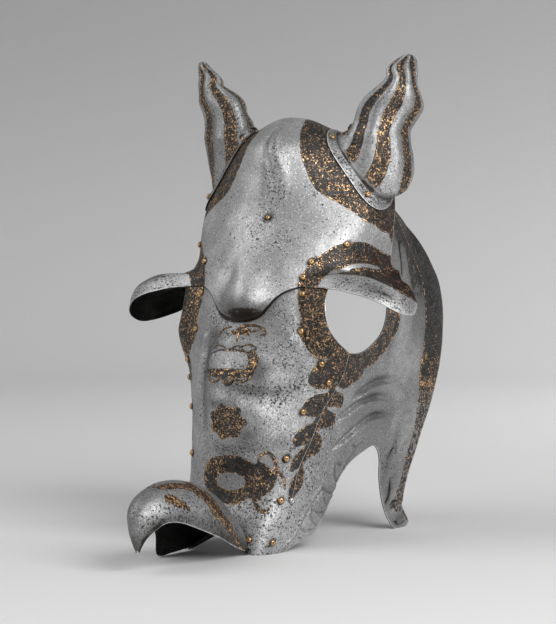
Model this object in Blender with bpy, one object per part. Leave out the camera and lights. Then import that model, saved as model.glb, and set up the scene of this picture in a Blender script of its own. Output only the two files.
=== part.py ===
"""Horse head armour: a full shaffron of riveted steel plates.

The mask stands on its lower edges. +Z is up, the nose points along -Y, and X = 0 is the plane of
symmetry. Every plate lies on one smooth mask surface. A place on it is named by two numbers:

    around - 0 on the centre line, 1 on the brow line, 2 on the temple line, 3 on the rear edge,
             negative on the left
    level  - 0 below the floor line, one more for each row of MASK, 13 at the rear edge of the poll
"""
import math
from collections import namedtuple

import bmesh
import bpy
from mathutils import Vector, geometry

# Driving dimensions, metres
WALL = 0.0013               # thickness of every plate
LAP_GAP = 0.0010            # clearance between lapped plates
DEPTH_CENTRE = 0.0730       # depth of the middle of the whole object, measured in the tables' own frame
SHEET_STEP = 0.0135         # spacing of the mesh points on a plate
EDGE_STEP = 0.0120          # spacing of the mesh points along a plate's edge
GRID_LEAN = -1e-4           # widens the grid row by row, so that every cell is split the same way
EDGE_MARGIN = 0.42          # least distance from an edge to the points inside, in sheet steps
SEAT_SCALE = 2.4            # size of the ring of mesh points round a rivet hole, against the hole
SEAT_MARGIN = 0.0035        # least distance from that ring to the other points
LEAST_AREA = 1e-8           # smaller triangles are left out
AROUND_LENGTH = 0.090       # about one step of `around`, measured along the surface
LEVEL_LENGTH = 0.045        # about one step of `level`, measured along the surface

# Height of each plate's inner face above the mask surface
CHEEK_LAYER = 0.0
SNOUT_LAYER = 0.0
MUZZLE_LAYER = CHEEK_LAYER + WALL + LAP_GAP
CROWN_LAYER = MUZZLE_LAYER + WALL + LAP_GAP
EAR_LAYER = CROWN_LAYER + WALL + LAP_GAP

# The mask surface, a row for each level
Row = namedtuple("Row", "front_y front_z brow_x brow_y brow_z temple_x temple_y temple_z rear_x rear_y rear_z")
MASK = (
    Row(0.000, -0.010, 0.052, -0.006, -0.010, 0.078, 0.100, -0.010, 0.089, 0.290, -0.010),
    Row(0.004, 0.030, 0.058, 0.010, 0.030, 0.086, 0.112, 0.030, 0.094, 0.292, 0.030),
    Row(0.014, 0.075, 0.066, 0.032, 0.075, 0.094, 0.128, 0.075, 0.100, 0.300, 0.075),
    Row(0.008, 0.120, 0.072, 0.046, 0.120, 0.101, 0.145, 0.120, 0.107, 0.318, 0.120),
    Row(0.005, 0.165, 0.079, 0.058, 0.165, 0.108, 0.158, 0.165, 0.114, 0.334, 0.165),
    Row(0.013, 0.215, 0.092, 0.074, 0.215, 0.115, 0.168, 0.215, 0.120, 0.345, 0.215),
    Row(0.034, 0.265, 0.086, 0.070, 0.265, 0.119, 0.176, 0.265, 0.123, 0.345, 0.265),
    Row(0.046, 0.315, 0.078, 0.076, 0.315, 0.121, 0.182, 0.315, 0.124, 0.332, 0.315),
    Row(0.062, 0.360, 0.090, 0.100, 0.360, 0.123, 0.188, 0.360, 0.123, 0.305, 0.360),
    Row(0.090, 0.410, 0.104, 0.136, 0.410, 0.126, 0.196, 0.410, 0.122, 0.262, 0.410),
    Row(0.100, 0.460, 0.100, 0.158, 0.455, 0.121, 0.208, 0.440, 0.127, 0.240, 0.440),
    Row(0.108, 0.500, 0.070, 0.164, 0.502, 0.106, 0.216, 0.470, 0.120, 0.245, 0.460),
    Row(0.150, 0.532, 0.048, 0.182, 0.520, 0.080, 0.226, 0.490, 0.100, 0.250, 0.475),
    Row(0.195, 0.536, 0.035, 0.215, 0.520, 0.060, 0.240, 0.495, 0.080, 0.260, 0.480),
)
TOP_LEVEL = len(MASK) - 1

# Rear edge of the cheek plates, turned out as a rim
RIM_START = 2.72            # around
RIM_WIDTH = 0.28            # in steps of around
RIM_FLARE = 0.008

# The rim in front of each eye swings outwards and forwards
SOCKET_SHIFT = (0.0115, -0.019, 0.0)
SOCKET_AROUND = (0.80, 1.30, 1.42, 2.10)    # where the swing starts, is full, starts to fade and ends
SOCKET_LEVEL = (4.70, 6.20, 7.10, 8.00)

# The brow boss on the crown plate
BOSS_X = 0.006
BOSS_Z = 0.318
BOSS_HALF_WIDTH = 0.026
BOSS_HALF_HEIGHT = 0.030
BOSS_HEIGHT = 0.014

# Plate outlines, as runs of (around, level) that meet at corners
MUZZLE_SNOUT_EDGE = ((0.0, 1.05), (0.35, 0.76), (0.62, 0.50), (0.78, 0.40))
MUZZLE_FLOOR_EDGE = ((0.84, 0.0), (1.20, 0.0))
MUZZLE_LEAF_EDGE = ((1.20, 0.0), (1.17, 1.75), (1.13, 2.55), (1.21, 3.35), (1.28, 4.39), (1.47, 5.41),
                    (1.49, 5.58))
MUZZLE_EYE_EDGE = ((1.49, 5.58), (1.32, 5.87), (1.23, 6.17), (1.21, 6.61), (1.22, 7.00), (1.22, 7.25))
MUZZLE_TOP_EDGE = ((1.22, 7.25), (1.00, 7.30), (0.70, 7.30), (0.50, 7.05), (0.30, 6.80), (0.0, 6.70))

CHEEK_FRONT_EDGE = ((1.00, 0.0), (0.86, 1.00), (0.80, 1.60), (0.76, 2.90), (0.82, 4.10), (0.98, 4.75),
                    (0.88, 5.30), (0.72, 6.10), (0.74, 7.10), (0.72, 7.90), (0.95, 8.60))
CHEEK_TOP_EDGE = ((0.95, 8.60), (1.30, 8.90), (1.98, 9.20), (2.20, 9.35))
CHEEK_REAR_EDGE = ((2.20, 9.35), (2.80, 8.72), (3.02, 7.62), (3.04, 6.74), (3.00, 5.40), (2.98, 4.34),
                   (2.96, 3.20), (2.96, 2.24), (2.96, 1.16), (3.05, 0.44), (3.03, 0.0))
CHEEK_ARCH_EDGE = ((2.86, 0.0), (2.82, 0.60), (2.69, 1.29), (2.59, 1.90), (2.47, 2.60), (2.34, 2.94),
                   (2.21, 2.87), (2.03, 2.59), (1.93, 2.13), (1.88, 1.34), (1.84, 0.93), (1.76, 0.66),
                   (1.50, 0.39), (1.25, 0.10), (1.16, 0.0))
EYE_HOLE = ((1.49, 5.55), (1.67, 5.52), (1.81, 5.56), (1.95, 5.72), (2.06, 5.95), (2.12, 6.30),
            (2.12, 6.75), (2.06, 7.15), (1.92, 7.50), (1.65, 7.65), (1.38, 7.50), (1.20, 7.10),
            (1.19, 6.60), (1.20, 6.18), (1.29, 5.88))

# Crown plate: its front edge over the muzzle plate, its half width, and where it starts to flare
SEAM = ((0.0, 6.30), (0.28, 6.42), (0.45, 6.66), (0.58, 6.91), (0.71, 7.09), (0.83, 7.17))
CROWN_HALF_AROUND = 2.08
CROWN_ROWS = 31             # mesh rows from its rear top edge to its front edge or lip
CROWN_COLUMNS = 20          # mesh columns from its centre line to its side edge
FLARE_LEVEL = 8.10
BODY_SHARE = 20 / CROWN_ROWS    # share of the rows above the flare
RIDGE_SHARE = 28 / CROWN_ROWS   # share of them above the ridge of the hood
HOOD_START = 0.85           # around
HOOD_BLEND = 0.12           # steps of around over which the plate turns into the hood

# Eye hood, from its front root round the tip to its rear root: ridge and lip, and how much deeper
# the lip of the left hood hangs
Hood = namedtuple("Hood", "ridge_x ridge_y ridge_z lip_x lip_y lip_z left_drop")
HOOD = (
    Hood(0.082, 0.076, 0.336, 0.074, 0.066, 0.322, 0.000),
    Hood(0.102, 0.078, 0.339, 0.096, 0.069, 0.323, 0.000),
    Hood(0.122, 0.081, 0.340, 0.118, 0.066, 0.322, 0.000),
    Hood(0.141, 0.082, 0.339, 0.139, 0.065, 0.318, 0.000),
    Hood(0.158, 0.084, 0.336, 0.160, 0.065, 0.313, 0.000),
    Hood(0.176, 0.086, 0.329, 0.180, 0.070, 0.305, 0.000),
    Hood(0.191, 0.094, 0.318, 0.198, 0.083, 0.296, 0.002),
    Hood(0.200, 0.109, 0.309, 0.209, 0.102, 0.289, 0.008),
    Hood(0.194, 0.125, 0.312, 0.203, 0.124, 0.291, 0.017),
    Hood(0.176, 0.146, 0.321, 0.184, 0.148, 0.301, 0.019),
    Hood(0.157, 0.170, 0.333, 0.164, 0.173, 0.315, 0.007),
    Hood(0.140, 0.197, 0.345, 0.145, 0.200, 0.331, 0.000),
)
HOOD_SWEEP = 0.026          # reach of the concave sweep above the hood
HOOD_VALLEY = 0.008         # depth of the valley behind the ridge
HOOD_BULGE = 0.005          # how far the turned-down lip bulges out
HOOD_FULL_REACH = 0.050     # reach at which the valley and the bulge have their full size

# Snout, from the muzzle to the tip: ridge line, near rim, and how much deeper the left wall hangs
Arch = namedtuple("Arch", "ridge_y ridge_z rim_x rim_y rim_z left_drop")
SNOUT = (
    Arch(-0.006, 0.042, 0.0500, -0.014, 0.004, 0.000),
    Arch(-0.022, 0.062, 0.0500, -0.030, 0.009, 0.006),
    Arch(-0.047, 0.080, 0.0490, -0.052, 0.017, 0.015),
    Arch(-0.078, 0.093, 0.0460, -0.080, 0.029, 0.026),
    Arch(-0.086, 0.095, 0.0450, -0.087, 0.032, 0.000),
    Arch(-0.117, 0.1005, 0.0400, -0.122, 0.046, 0.000),
    Arch(-0.150, 0.098, 0.0330, -0.150, 0.056, 0.000),
    Arch(-0.180, 0.088, 0.0260, -0.168, 0.057, 0.000),
    Arch(-0.198, 0.071, 0.0180, -0.178, 0.050, 0.000),
    Arch(-0.202, 0.052, 0.0105, -0.184, 0.041, 0.000),
    Arch(-0.197, 0.037, 0.0060, -0.188, 0.032, 0.000),
    Arch(-0.192, 0.026, 0.0025, -0.189, 0.024, 0.000),
)
SNOUT_LAP_AROUND = 0.74     # half width of the flange behind the muzzle plate

# The flange and the fold below it: levels above the muzzle plate's edge, and the stand in front of
# the mask
Flange = namedtuple("Flange", "up stand")
SNOUT_FLANGE = (
    Flange(0.42, 0.0),
    Flange(0.03, 0.0),
    Flange(-0.06, 0.0),
    Flange(-0.14, 0.0038),
    Flange(-0.10, 0.0075),
)
ARCH_COLUMNS = 14

# Ear guards: root on the crown, then level sections of an ellipse turned EAR_TURN from +X
Ear = namedtuple("Ear", "x y z half_length half_width")
EARS = (
    Ear(0.1120, 0.1985, 0.5175, 0.0470, 0.0350),
    Ear(0.1170, 0.2010, 0.5334, 0.0455, 0.0290),
    Ear(0.1228, 0.2010, 0.5504, 0.0430, 0.0247),
    Ear(0.1270, 0.1995, 0.5659, 0.0385, 0.0235),
    Ear(0.1335, 0.1995, 0.5790, 0.0300, 0.0180),
    Ear(0.1415, 0.1985, 0.5920, 0.0220, 0.0105),
    Ear(0.1445, 0.1985, 0.6050, 0.0175, 0.0060),
    Ear(0.1500, 0.1970, 0.6190, 0.0070, 0.0030),
)
EAR_TURN = math.radians(40)
EAR_TIP = (0.1515, 0.1970, 0.6235)
EAR_COLUMNS = 18
EAR_ROOT = (1.45, 10.72)    # middle of the root, around and level
EAR_ROOT_REACH = (0.53, 1.20)
EAR_FLANGE = (1.24, 1.12, 1.0)    # sizes of the flange's rings against the root
EAR_HOLE = 0.93             # size of the hole in the crown plate against the root
EAR_NECK_RINGS = 3
EAR_LEAST_NECK = 0.011      # least height of the first section above the root
EAR_NECK_SWELL = 0.55       # below 1 the neck swells out low down
EAR_RING_START = math.radians(15)
EAR_SOLID_SECTIONS = 3      # sections that are solid, counted from the tip
EAR_HOLLOW_TOP = (0.002, 0.0, 0.004)    # top of the hollow above its last ring

# Rivets: around, level, height of the head's seat and of the inner end, and the sides they are on
Rivet = namedtuple("Rivet", "name around level outer inner right left")
CROWN_FACE = CROWN_LAYER + WALL
MUZZLE_FACE = MUZZLE_LAYER + WALL
EAR_FACE = EAR_LAYER + WALL
RIVETS = (
    Rivet("brow_outer", 1.14, 8.32, CROWN_FACE, CHEEK_LAYER, True, True),
    Rivet("brow_upper", 0.81, 7.86, CROWN_FACE, CHEEK_LAYER, True, True),
    Rivet("brow_lower", 0.81, 7.44, CROWN_FACE, CHEEK_LAYER, True, False),
    Rivet("muzzle_top", 0.90, 7.00, MUZZLE_FACE, CHEEK_LAYER, True, True),
    Rivet("muzzle_eye", 0.84, 6.09, MUZZLE_FACE, CHEEK_LAYER, True, True),
    Rivet("muzzle_upper", 1.03, 5.31, MUZZLE_FACE, CHEEK_LAYER, True, True),
    Rivet("muzzle_middle", 1.14, 4.84, MUZZLE_FACE, CHEEK_LAYER, True, True),
    Rivet("muzzle_side", 0.95, 4.13, MUZZLE_FACE, CHEEK_LAYER, True, True),
    Rivet("muzzle_lower", 0.89, 2.87, MUZZLE_FACE, CHEEK_LAYER, True, True),
    Rivet("muzzle_seam", 0.99, 1.74, MUZZLE_FACE, CHEEK_LAYER, True, True),
    Rivet("muzzle_foot", 1.12, 0.61, MUZZLE_FACE, CHEEK_LAYER, True, True),
    Rivet("snout_upper", 0.35, 0.95, MUZZLE_FACE, SNOUT_LAYER, True, True),
    Rivet("snout_lower", 0.67, 0.68, MUZZLE_FACE, SNOUT_LAYER, True, True),
    Rivet("ear_front", 0.90, 11.15, EAR_FACE, CROWN_LAYER, True, True),
    Rivet("ear_side", 1.14, 9.62, EAR_FACE, CROWN_LAYER, True, True),
    Rivet("ear_rear", 1.62, 12.05, EAR_FACE, CROWN_LAYER, True, True),
    Rivet("crown_middle", 0.11, 8.97, CROWN_FACE, CROWN_LAYER, True, False),
)
RIVET_HEAD_RADIUS = 0.0034
RIVET_HEAD_HEIGHT = 0.0022
RIVET_SHANK_RADIUS = 0.0012
RIVET_CLENCH_RADIUS = 0.0022
RIVET_CLENCH_HEIGHT = 0.0008
RIVET_CLEARANCE = 0.0008    # under the head and the clenched end
RIVET_HOLE_RADIUS = 0.0020
RIVET_SIDES = 8
HOLE_SIDES = 6
DRILL_LENGTH = 0.006

# Finishes: colour, metallic and roughness of each
BRIGHT_STEEL = ("bright_steel", (0.55, 0.56, 0.57, 1.0), 1.0, 0.38)
CHEEK_STEEL = ("cheek_steel", (0.33, 0.34, 0.35, 1.0), 1.0, 0.42)
SNOUT_STEEL = ("snout_steel", (0.50, 0.51, 0.52, 1.0), 1.0, 0.40)
EAR_STEEL = ("ear_steel", (0.40, 0.40, 0.41, 1.0), 1.0, 0.40)
RIVET_BRASS = ("rivet_brass", (0.72, 0.52, 0.26, 1.0), 1.0, 0.30)


def clear_scene():
    """Remove every object that the file holds."""
    for thing in list(bpy.data.objects):
        bpy.data.objects.remove(thing, do_unlink=True)


def make_material(finish, name):
    """Principled material of a finish."""
    _, colour, metallic, roughness = finish
    material = bpy.data.materials.new(name)
    material.use_nodes = True
    shader = material.node_tree.nodes["Principled BSDF"]
    shader.inputs["Base Color"].default_value = colour
    shader.inputs["Metallic"].default_value = metallic
    shader.inputs["Roughness"].default_value = roughness
    return material


def smooth_step(value):
    """0 below 0, 1 above 1, with a smooth rise between."""
    value = min(max(value, 0.0), 1.0)
    return value * value * (3.0 - 2.0 * value)


def through(a, b, c, d, share):
    """Point on the Catmull-Rom curve from b to c."""
    square = share * share
    cube = square * share
    return 0.5 * (b * 2.0 + (c - a) * share + (a * 2.0 - b * 5.0 + c * 4.0 - d) * square
                  + (b * 3.0 - a - c * 3.0 + d) * cube)


def along(points, place):
    """Point at a place (0 to len - 1) on the smooth curve through a list of vectors."""
    last = len(points) - 1
    index = min(max(int(math.floor(place)), 0), last - 1)
    before = points[index - 1] if index > 0 else points[0] * 2.0 - points[1]
    after = points[index + 2] if index + 2 <= last else points[last] * 2.0 - points[last - 1]
    return through(before, points[index], points[index + 1], after, place - index)


def value_at(table, key):
    """Value of a piecewise linear table of (key, value) pairs."""
    if key <= table[0][0]:
        return table[0][1]
    for (key_a, value_a), (key_b, value_b) in zip(table, table[1:]):
        if key <= key_b:
            return value_a + (value_b - value_a) * (key - key_a) / (key_b - key_a)
    return table[-1][1]


MASK_LINES = (
    [Vector((-row.brow_x, row.brow_y, row.brow_z)) for row in MASK],
    [Vector((0.0, row.front_y, row.front_z)) for row in MASK],
    [Vector((row.brow_x, row.brow_y, row.brow_z)) for row in MASK],
    [Vector((row.temple_x, row.temple_y, row.temple_z)) for row in MASK],
    [Vector((row.rear_x, row.rear_y, row.rear_z)) for row in MASK],
)


def between(value, limits):
    """0 outside the outer two limits, 1 inside the inner two, with smooth slopes."""
    start, full, fade, end = limits
    return smooth_step((value - start) / (full - start)) * smooth_step((end - value) / (end - fade))


def mask_point(around, level):
    """Point of the bare mask surface."""
    points = [along(line, level) for line in MASK_LINES]
    point = along(points, abs(around) + 1.0)
    point += Vector(SOCKET_SHIFT) * between(abs(around), SOCKET_AROUND) * between(level, SOCKET_LEVEL)
    if around < 0.0:
        point.x = -point.x
    return point


def mask_normal(around, level):
    """Outward normal of the mask surface."""
    step = 0.02
    across = mask_point(around + step, level) - mask_point(around - step, level)
    upward = mask_point(around, level + step) - mask_point(around, level - step)
    return across.cross(upward).normalized()


def rim_relief(around):
    """How far the rear rim stands out."""
    return RIM_FLARE * smooth_step((abs(around) - RIM_START) / RIM_WIDTH)


def boss_relief(point):
    """How far the brow boss stands out at a point of the mask."""
    across = (point.x - BOSS_X) / BOSS_HALF_WIDTH
    upward = (point.z - BOSS_Z) / BOSS_HALF_HEIGHT
    return BOSS_HEIGHT * math.exp(-across * across - upward * upward)


def face_place(layer):
    """Placing function of the outer face of a plate that follows the mask."""
    def place(around, level):
        offset = layer + WALL + rim_relief(around)
        return mask_point(around, level) + mask_normal(around, level) * offset
    return place


def hood_row(around):
    """Ridge, lip and left drop of the hood at a place round it."""
    share = (abs(around) - HOOD_START) / (CROWN_HALF_AROUND - HOOD_START)
    place = share * (len(HOOD) - 1)
    ridge = along([Vector((row.ridge_x, row.ridge_y, row.ridge_z)) for row in HOOD], place)
    lip = along([Vector((row.lip_x, row.lip_y, row.lip_z)) for row in HOOD], place)
    drop = along([Vector((row.left_drop, 0.0, 0.0)) for row in HOOD], place).x
    return ridge, lip, max(drop, 0.0)


def bezier(a, b, c, d, share):
    """Point of a cubic Bezier curve."""
    rest = 1.0 - share
    return a * rest ** 3 + b * (3.0 * rest * rest * share) + c * (3.0 * rest * share * share) + d * share ** 3


def seam_level(around):
    """Level of the crown plate's front edge."""
    return value_at(SEAM, abs(around))


def crown_body(around, level):
    """Outer face of the crown plate where it follows the mask."""
    point = mask_point(around, level)
    return point + mask_normal(around, level) * (CROWN_LAYER + WALL + boss_relief(point))


def hood_point(around, share):
    """Point of the hood: share 0 where it leaves the crown, RIDGE on its ridge, 1 on its lip."""
    ridge, lip, drop = hood_row(around)
    if around < 0.0:
        ridge.x = -ridge.x
        lip.x = -lip.x
        lip.z -= drop
    start = crown_body(around, FLARE_LEVEL)
    down = (crown_body(around, FLARE_LEVEL - 0.1) - start).normalized()
    turn = (RIDGE_SHARE - BODY_SHARE) / (1.0 - BODY_SHARE)
    outward = ridge - start
    outward.z = 0.0
    reach = outward.length
    outward.normalize()
    sweep = min(HOOD_SWEEP, reach * 0.8 + 0.004)
    fullness = min(reach / HOOD_FULL_REACH, 1.0)
    if share <= turn:
        leave = start + down * sweep
        arrive = ridge - outward * min(sweep, reach * 0.6) - Vector((0.0, 0.0, HOOD_VALLEY * fullness))
        return bezier(start, leave, arrive, ridge, share / turn)
    fall = (share - turn) / (1.0 - turn)
    corner = ridge.lerp(lip, 0.35) + outward * HOOD_BULGE * fullness
    return bezier(ridge, ridge.lerp(corner, 0.6), corner.lerp(lip, 0.4), lip, fall)


def crown_place(around, down):
    """Outer face of the crown plate, down 0 at its rear top edge and 1 at its front edge or lip."""
    if down <= BODY_SHARE:
        return crown_body(around, TOP_LEVEL + (FLARE_LEVEL - TOP_LEVEL) * down / BODY_SHARE)
    share = (down - BODY_SHARE) / (1.0 - BODY_SHARE)
    plain = crown_body(around, FLARE_LEVEL + (seam_level(around) - FLARE_LEVEL) * share)
    hooded = smooth_step((abs(around) - HOOD_START) / HOOD_BLEND)
    if hooded == 0.0:
        return plain
    return plain.lerp(hood_point(around, share), hooded)


def crown_down(around, level):
    """The crown plate's own coordinate of a level."""
    if level >= FLARE_LEVEL:
        return BODY_SHARE * (TOP_LEVEL - level) / (TOP_LEVEL - FLARE_LEVEL)
    return BODY_SHARE + (1.0 - BODY_SHARE) * (FLARE_LEVEL - level) / (FLARE_LEVEL - seam_level(around))


def mirrored(run):
    """A run of outline points on the other side, in the opposite order."""
    return tuple((-around, level) for around, level in reversed(run))


def smooth_run(run, scale, step):
    """Evenly spaced points on the smooth curve through a run, without its last point."""
    points = [Vector((a * scale[0], b * scale[1])) for a, b in run]
    if len(points) == 2:
        dense = [points[0].lerp(points[1], i / 20) for i in range(21)]
    else:
        dense = [along(points, i / 20) for i in range(20 * (len(points) - 1) + 1)]
    length = sum((b - a).length for a, b in zip(dense, dense[1:]))
    count = max(1, round(length / step))
    wanted = [length * i / count for i in range(count)]
    result = []
    travelled = 0.0
    for a, b in zip(dense, dense[1:]):
        part = (b - a).length
        while wanted and wanted[0] <= travelled + part:
            result.append(a.lerp(b, (wanted.pop(0) - travelled) / max(part, 1e-9)))
        travelled += part
    return result


def inside(point, loop):
    """Whether a flat point is inside a loop."""
    found = False
    for a, b in zip(loop, loop[1:] + loop[:1]):
        if (a.y > point.y) != (b.y > point.y):
            crossing = a.x + (b.x - a.x) * (point.y - a.y) / (b.y - a.y)
            if point.x < crossing:
                found = not found
    return found


def loop_distance(point, loop):
    """Distance from a flat point to the nearest side of a loop."""
    best = 1.0
    for a, b in zip(loop, loop[1:] + loop[:1]):
        nearest, share = geometry.intersect_point_line(point, a, b)
        nearest = a if share < 0.0 else b if share > 1.0 else nearest
        best = min(best, (point - nearest.to_2d()).length)
    return best


def flat_points(outline, holes, step):
    """Points of a shared square grid that lie inside the outline, clear of its edges and holes."""
    kept = []
    for row in grid_numbers([p.y for p in outline], step):
        for column in grid_numbers([p.x for p in outline], step):
            point = Vector((column * step * (1.0 + row * GRID_LEAN), row * step))
            if not inside(point, outline) or loop_distance(point, outline) < step * EDGE_MARGIN:
                continue
            if any(inside(point, hole) or loop_distance(point, hole) < step * EDGE_MARGIN for hole in holes):
                continue
            kept.append(point)
    return kept


def grid_numbers(values, step):
    """Whole numbers of steps that cover a list of values."""
    return range(math.floor(min(values) / step), math.ceil(max(values) / step) + 1)


def seat_points(holes):
    """Points round each rivet hole that keep the plate true under the rivet's head."""
    kept = []
    for hole in holes:
        middle = sum(hole, Vector((0.0, 0.0))) / len(hole)
        kept.extend(middle + (point - middle) * SEAT_SCALE for point in hole)
    return kept


def cut_sheet(outline, openings, rivet_holes):
    """Flat triangles of an outline with holes: points and triples of their numbers."""
    holes = list(openings) + list(rivet_holes)
    points = []
    edges = []
    for loop in [outline] + holes:
        first = len(points)
        points.extend(loop)
        count = len(loop)
        edges.extend((first + i, first + (i + 1) % count) for i in range(count))
    seats = seat_points(rivet_holes)
    grid = flat_points(outline, holes, SHEET_STEP)
    points.extend(seats)
    points.extend(p for p in grid if all((p - seat).length > SEAT_MARGIN for seat in seats))
    result = geometry.delaunay_2d_cdt(points, edges, [], 0, 1e-7)
    flat = result[0]
    triangles = []
    for face in result[2]:
        corners = [flat[i] for i in face]
        if geometry.area_tri(*corners) < LEAST_AREA:
            continue
        middle = sum(corners, Vector((0.0, 0.0))) / len(face)
        if inside(middle, outline) and not any(inside(middle, hole) for hole in holes):
            triangles.append(tuple(face))
    return flat, triangles


def thicken(sheet, thickness):
    """Closed wall from an open sheet whose faces point outwards; the sheet stays the outer face."""
    sheet.normal_update()
    outer = list(sheet.verts)
    faces = [[v.index for v in face.verts] for face in sheet.faces]
    rims = [(e.verts, e.link_faces[0]) for e in sheet.edges if e.is_boundary]
    inner = [sheet.verts.new(v.co - v.normal * thickness) for v in outer]
    for face in faces:
        sheet.faces.new([inner[i] for i in reversed(face)])
    for (a, b), face in rims:
        order = [v for v in face.verts]
        forward = order[(order.index(a) + 1) % len(order)] is b
        first, second = (a, b) if forward else (b, a)
        sheet.faces.new((second, first, inner[first.index], inner[second.index]))


def trim_below_floor(shape):
    """Cut a closed wall off level at the floor."""
    geometry_in = list(shape.verts) + list(shape.edges) + list(shape.faces)
    cut = bmesh.ops.bisect_plane(shape, geom=geometry_in, plane_co=(0.0, 0.0, 0.0), plane_no=(0.0, 0.0, 1.0),
                                 clear_inner=True, dist=1e-6)
    edges = [g for g in cut["geom_cut"] if isinstance(g, bmesh.types.BMEdge)]
    if edges:
        bmesh.ops.holes_fill(shape, edges=edges, sides=0)


def add_object(name, shape, finish):
    """Make an object from a bmesh, with its own material."""
    bmesh.ops.triangulate(shape, faces=list(shape.faces))
    shape.normal_update()
    mesh = bpy.data.meshes.new(name)
    shape.to_mesh(mesh)
    shape.free()
    mesh.shade_smooth()
    mesh.set_sharp_from_angle(angle=math.radians(40))
    mesh.materials.append(make_material(finish, name + "_finish"))
    thing = bpy.data.objects.new(name, mesh)
    thing.location.y = -DEPTH_CENTRE
    bpy.context.scene.collection.objects.link(thing)
    return thing


def sheet_from(flat, triangles, place, scale):
    """Open sheet of placed triangles, facing outwards."""
    shape = bmesh.new()
    for point in flat:
        shape.verts.new(place(point.x / scale[0], point.y / scale[1]))
    shape.verts.ensure_lookup_table()
    shape.verts.index_update()
    for face in triangles:
        shape.faces.new([shape.verts[i] for i in face])
    for vertex in [v for v in shape.verts if not v.link_faces]:
        shape.verts.remove(vertex)
    shape.verts.ensure_lookup_table()
    shape.verts.index_update()
    return shape


def round_hole(place, around, height, scale):
    """Rivet hole in a plate: a loop of flat points about a place on it, round once it is placed."""
    reach = 0.005
    across = (place(around + reach, height) - place(around - reach, height)) / (2.0 * reach)
    upward = (place(around, height + reach) - place(around, height - reach)) / (2.0 * reach)
    lean = upward.dot(across.normalized())
    rise = math.sqrt(upward.length_squared - lean * lean)
    loop = []
    for i in range(HOLE_SIDES):
        turn = 2.0 * math.pi * i / HOLE_SIDES
        up = RIVET_HOLE_RADIUS * math.sin(turn) / rise
        side = (RIVET_HOLE_RADIUS * math.cos(turn) - up * lean) / across.length
        loop.append(Vector(((around + side) * scale[0], (height + up) * scale[1])))
    return loop


def rivets_through(bottom, top, side):
    """Rivets whose shank crosses a plate that lies between two heights, on one side."""
    found = []
    for rivet in RIVETS:
        present = rivet.right if side > 0 else rivet.left
        if present and rivet.inner <= bottom + 1e-6 and rivet.outer >= top - 1e-6:
            found.append(rivet)
    return found


def build_muzzle_plate():
    """Long nose plate."""
    scale = (AROUND_LENGTH, LEVEL_LENGTH)
    place = face_place(MUZZLE_LAYER)
    right = (MUZZLE_SNOUT_EDGE, (MUZZLE_SNOUT_EDGE[-1], MUZZLE_FLOOR_EDGE[0]), MUZZLE_FLOOR_EDGE,
             MUZZLE_LEAF_EDGE, MUZZLE_EYE_EDGE, MUZZLE_TOP_EDGE)
    outline = []
    for run in right + tuple(mirrored(run) for run in reversed(right)):
        outline.extend(smooth_run(run, scale, EDGE_STEP))
    holes = []
    for side in (1, -1):
        for rivet in rivets_through(MUZZLE_LAYER, MUZZLE_FACE, side):
            if crosses_muzzle(rivet):
                holes.append(round_hole(place, side * rivet.around, rivet.level, scale))
    flat, triangles = cut_sheet(outline, [], holes)
    shape = sheet_from(flat, triangles, place, scale)
    thicken(shape, WALL)
    trim_below_floor(shape)
    add_object("muzzle_plate", shape, BRIGHT_STEEL)


def crosses_muzzle(rivet):
    """Whether a rivet is inside the muzzle plate's outline."""
    loop = [Vector(p) for run in (MUZZLE_SNOUT_EDGE, MUZZLE_LEAF_EDGE, MUZZLE_EYE_EDGE, MUZZLE_TOP_EDGE)
            for p in run]
    return inside(Vector((rivet.around, rivet.level)), loop)


def crosses_cheek(rivet):
    """Whether a rivet is inside the cheek plate's outline."""
    loop = [Vector(p) for run in (CHEEK_FRONT_EDGE, CHEEK_TOP_EDGE, CHEEK_REAR_EDGE, CHEEK_ARCH_EDGE)
            for p in run]
    return inside(Vector((rivet.around, rivet.level)), loop)


def build_cheek_plate(name, side):
    """Side plate round the eye; side is 1 on the right and -1 on the left."""
    scale = (AROUND_LENGTH, LEVEL_LENGTH)
    place = face_place(CHEEK_LAYER)
    runs = (CHEEK_FRONT_EDGE, CHEEK_TOP_EDGE, CHEEK_REAR_EDGE, (CHEEK_REAR_EDGE[-1], CHEEK_ARCH_EDGE[0]),
            CHEEK_ARCH_EDGE, (CHEEK_ARCH_EDGE[-1], CHEEK_FRONT_EDGE[0]))
    outline = []
    for run in runs:
        outline.extend(smooth_run(run, scale, EDGE_STEP))
    eye = smooth_run(EYE_HOLE + (EYE_HOLE[0],), scale, EDGE_STEP)
    holes = []
    for rivet in rivets_through(CHEEK_LAYER, CHEEK_LAYER + WALL, side):
        if crosses_cheek(rivet):
            holes.append(round_hole(place, rivet.around, rivet.level, scale))
    flat, triangles = cut_sheet(outline, [eye], holes)
    shape = sheet_from(flat, triangles, place, scale)
    thicken(shape, WALL)
    trim_below_floor(shape)
    if side < 0:
        bmesh.ops.scale(shape, vec=(-1.0, 1.0, 1.0), verts=shape.verts)
        bmesh.ops.reverse_faces(shape, faces=shape.faces)
    add_object(name, shape, CHEEK_STEEL)


def ear_loop(size, count):
    """Loop on the mask about the ear root, as (around, level) pairs, size times the root."""
    loop = []
    for i in range(count):
        turn = 2.0 * math.pi * i / count
        loop.append((EAR_ROOT[0] + size * EAR_ROOT_REACH[0] * math.cos(turn),
                     EAR_ROOT[1] + size * EAR_ROOT_REACH[1] * math.sin(turn)))
    return loop


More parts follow.
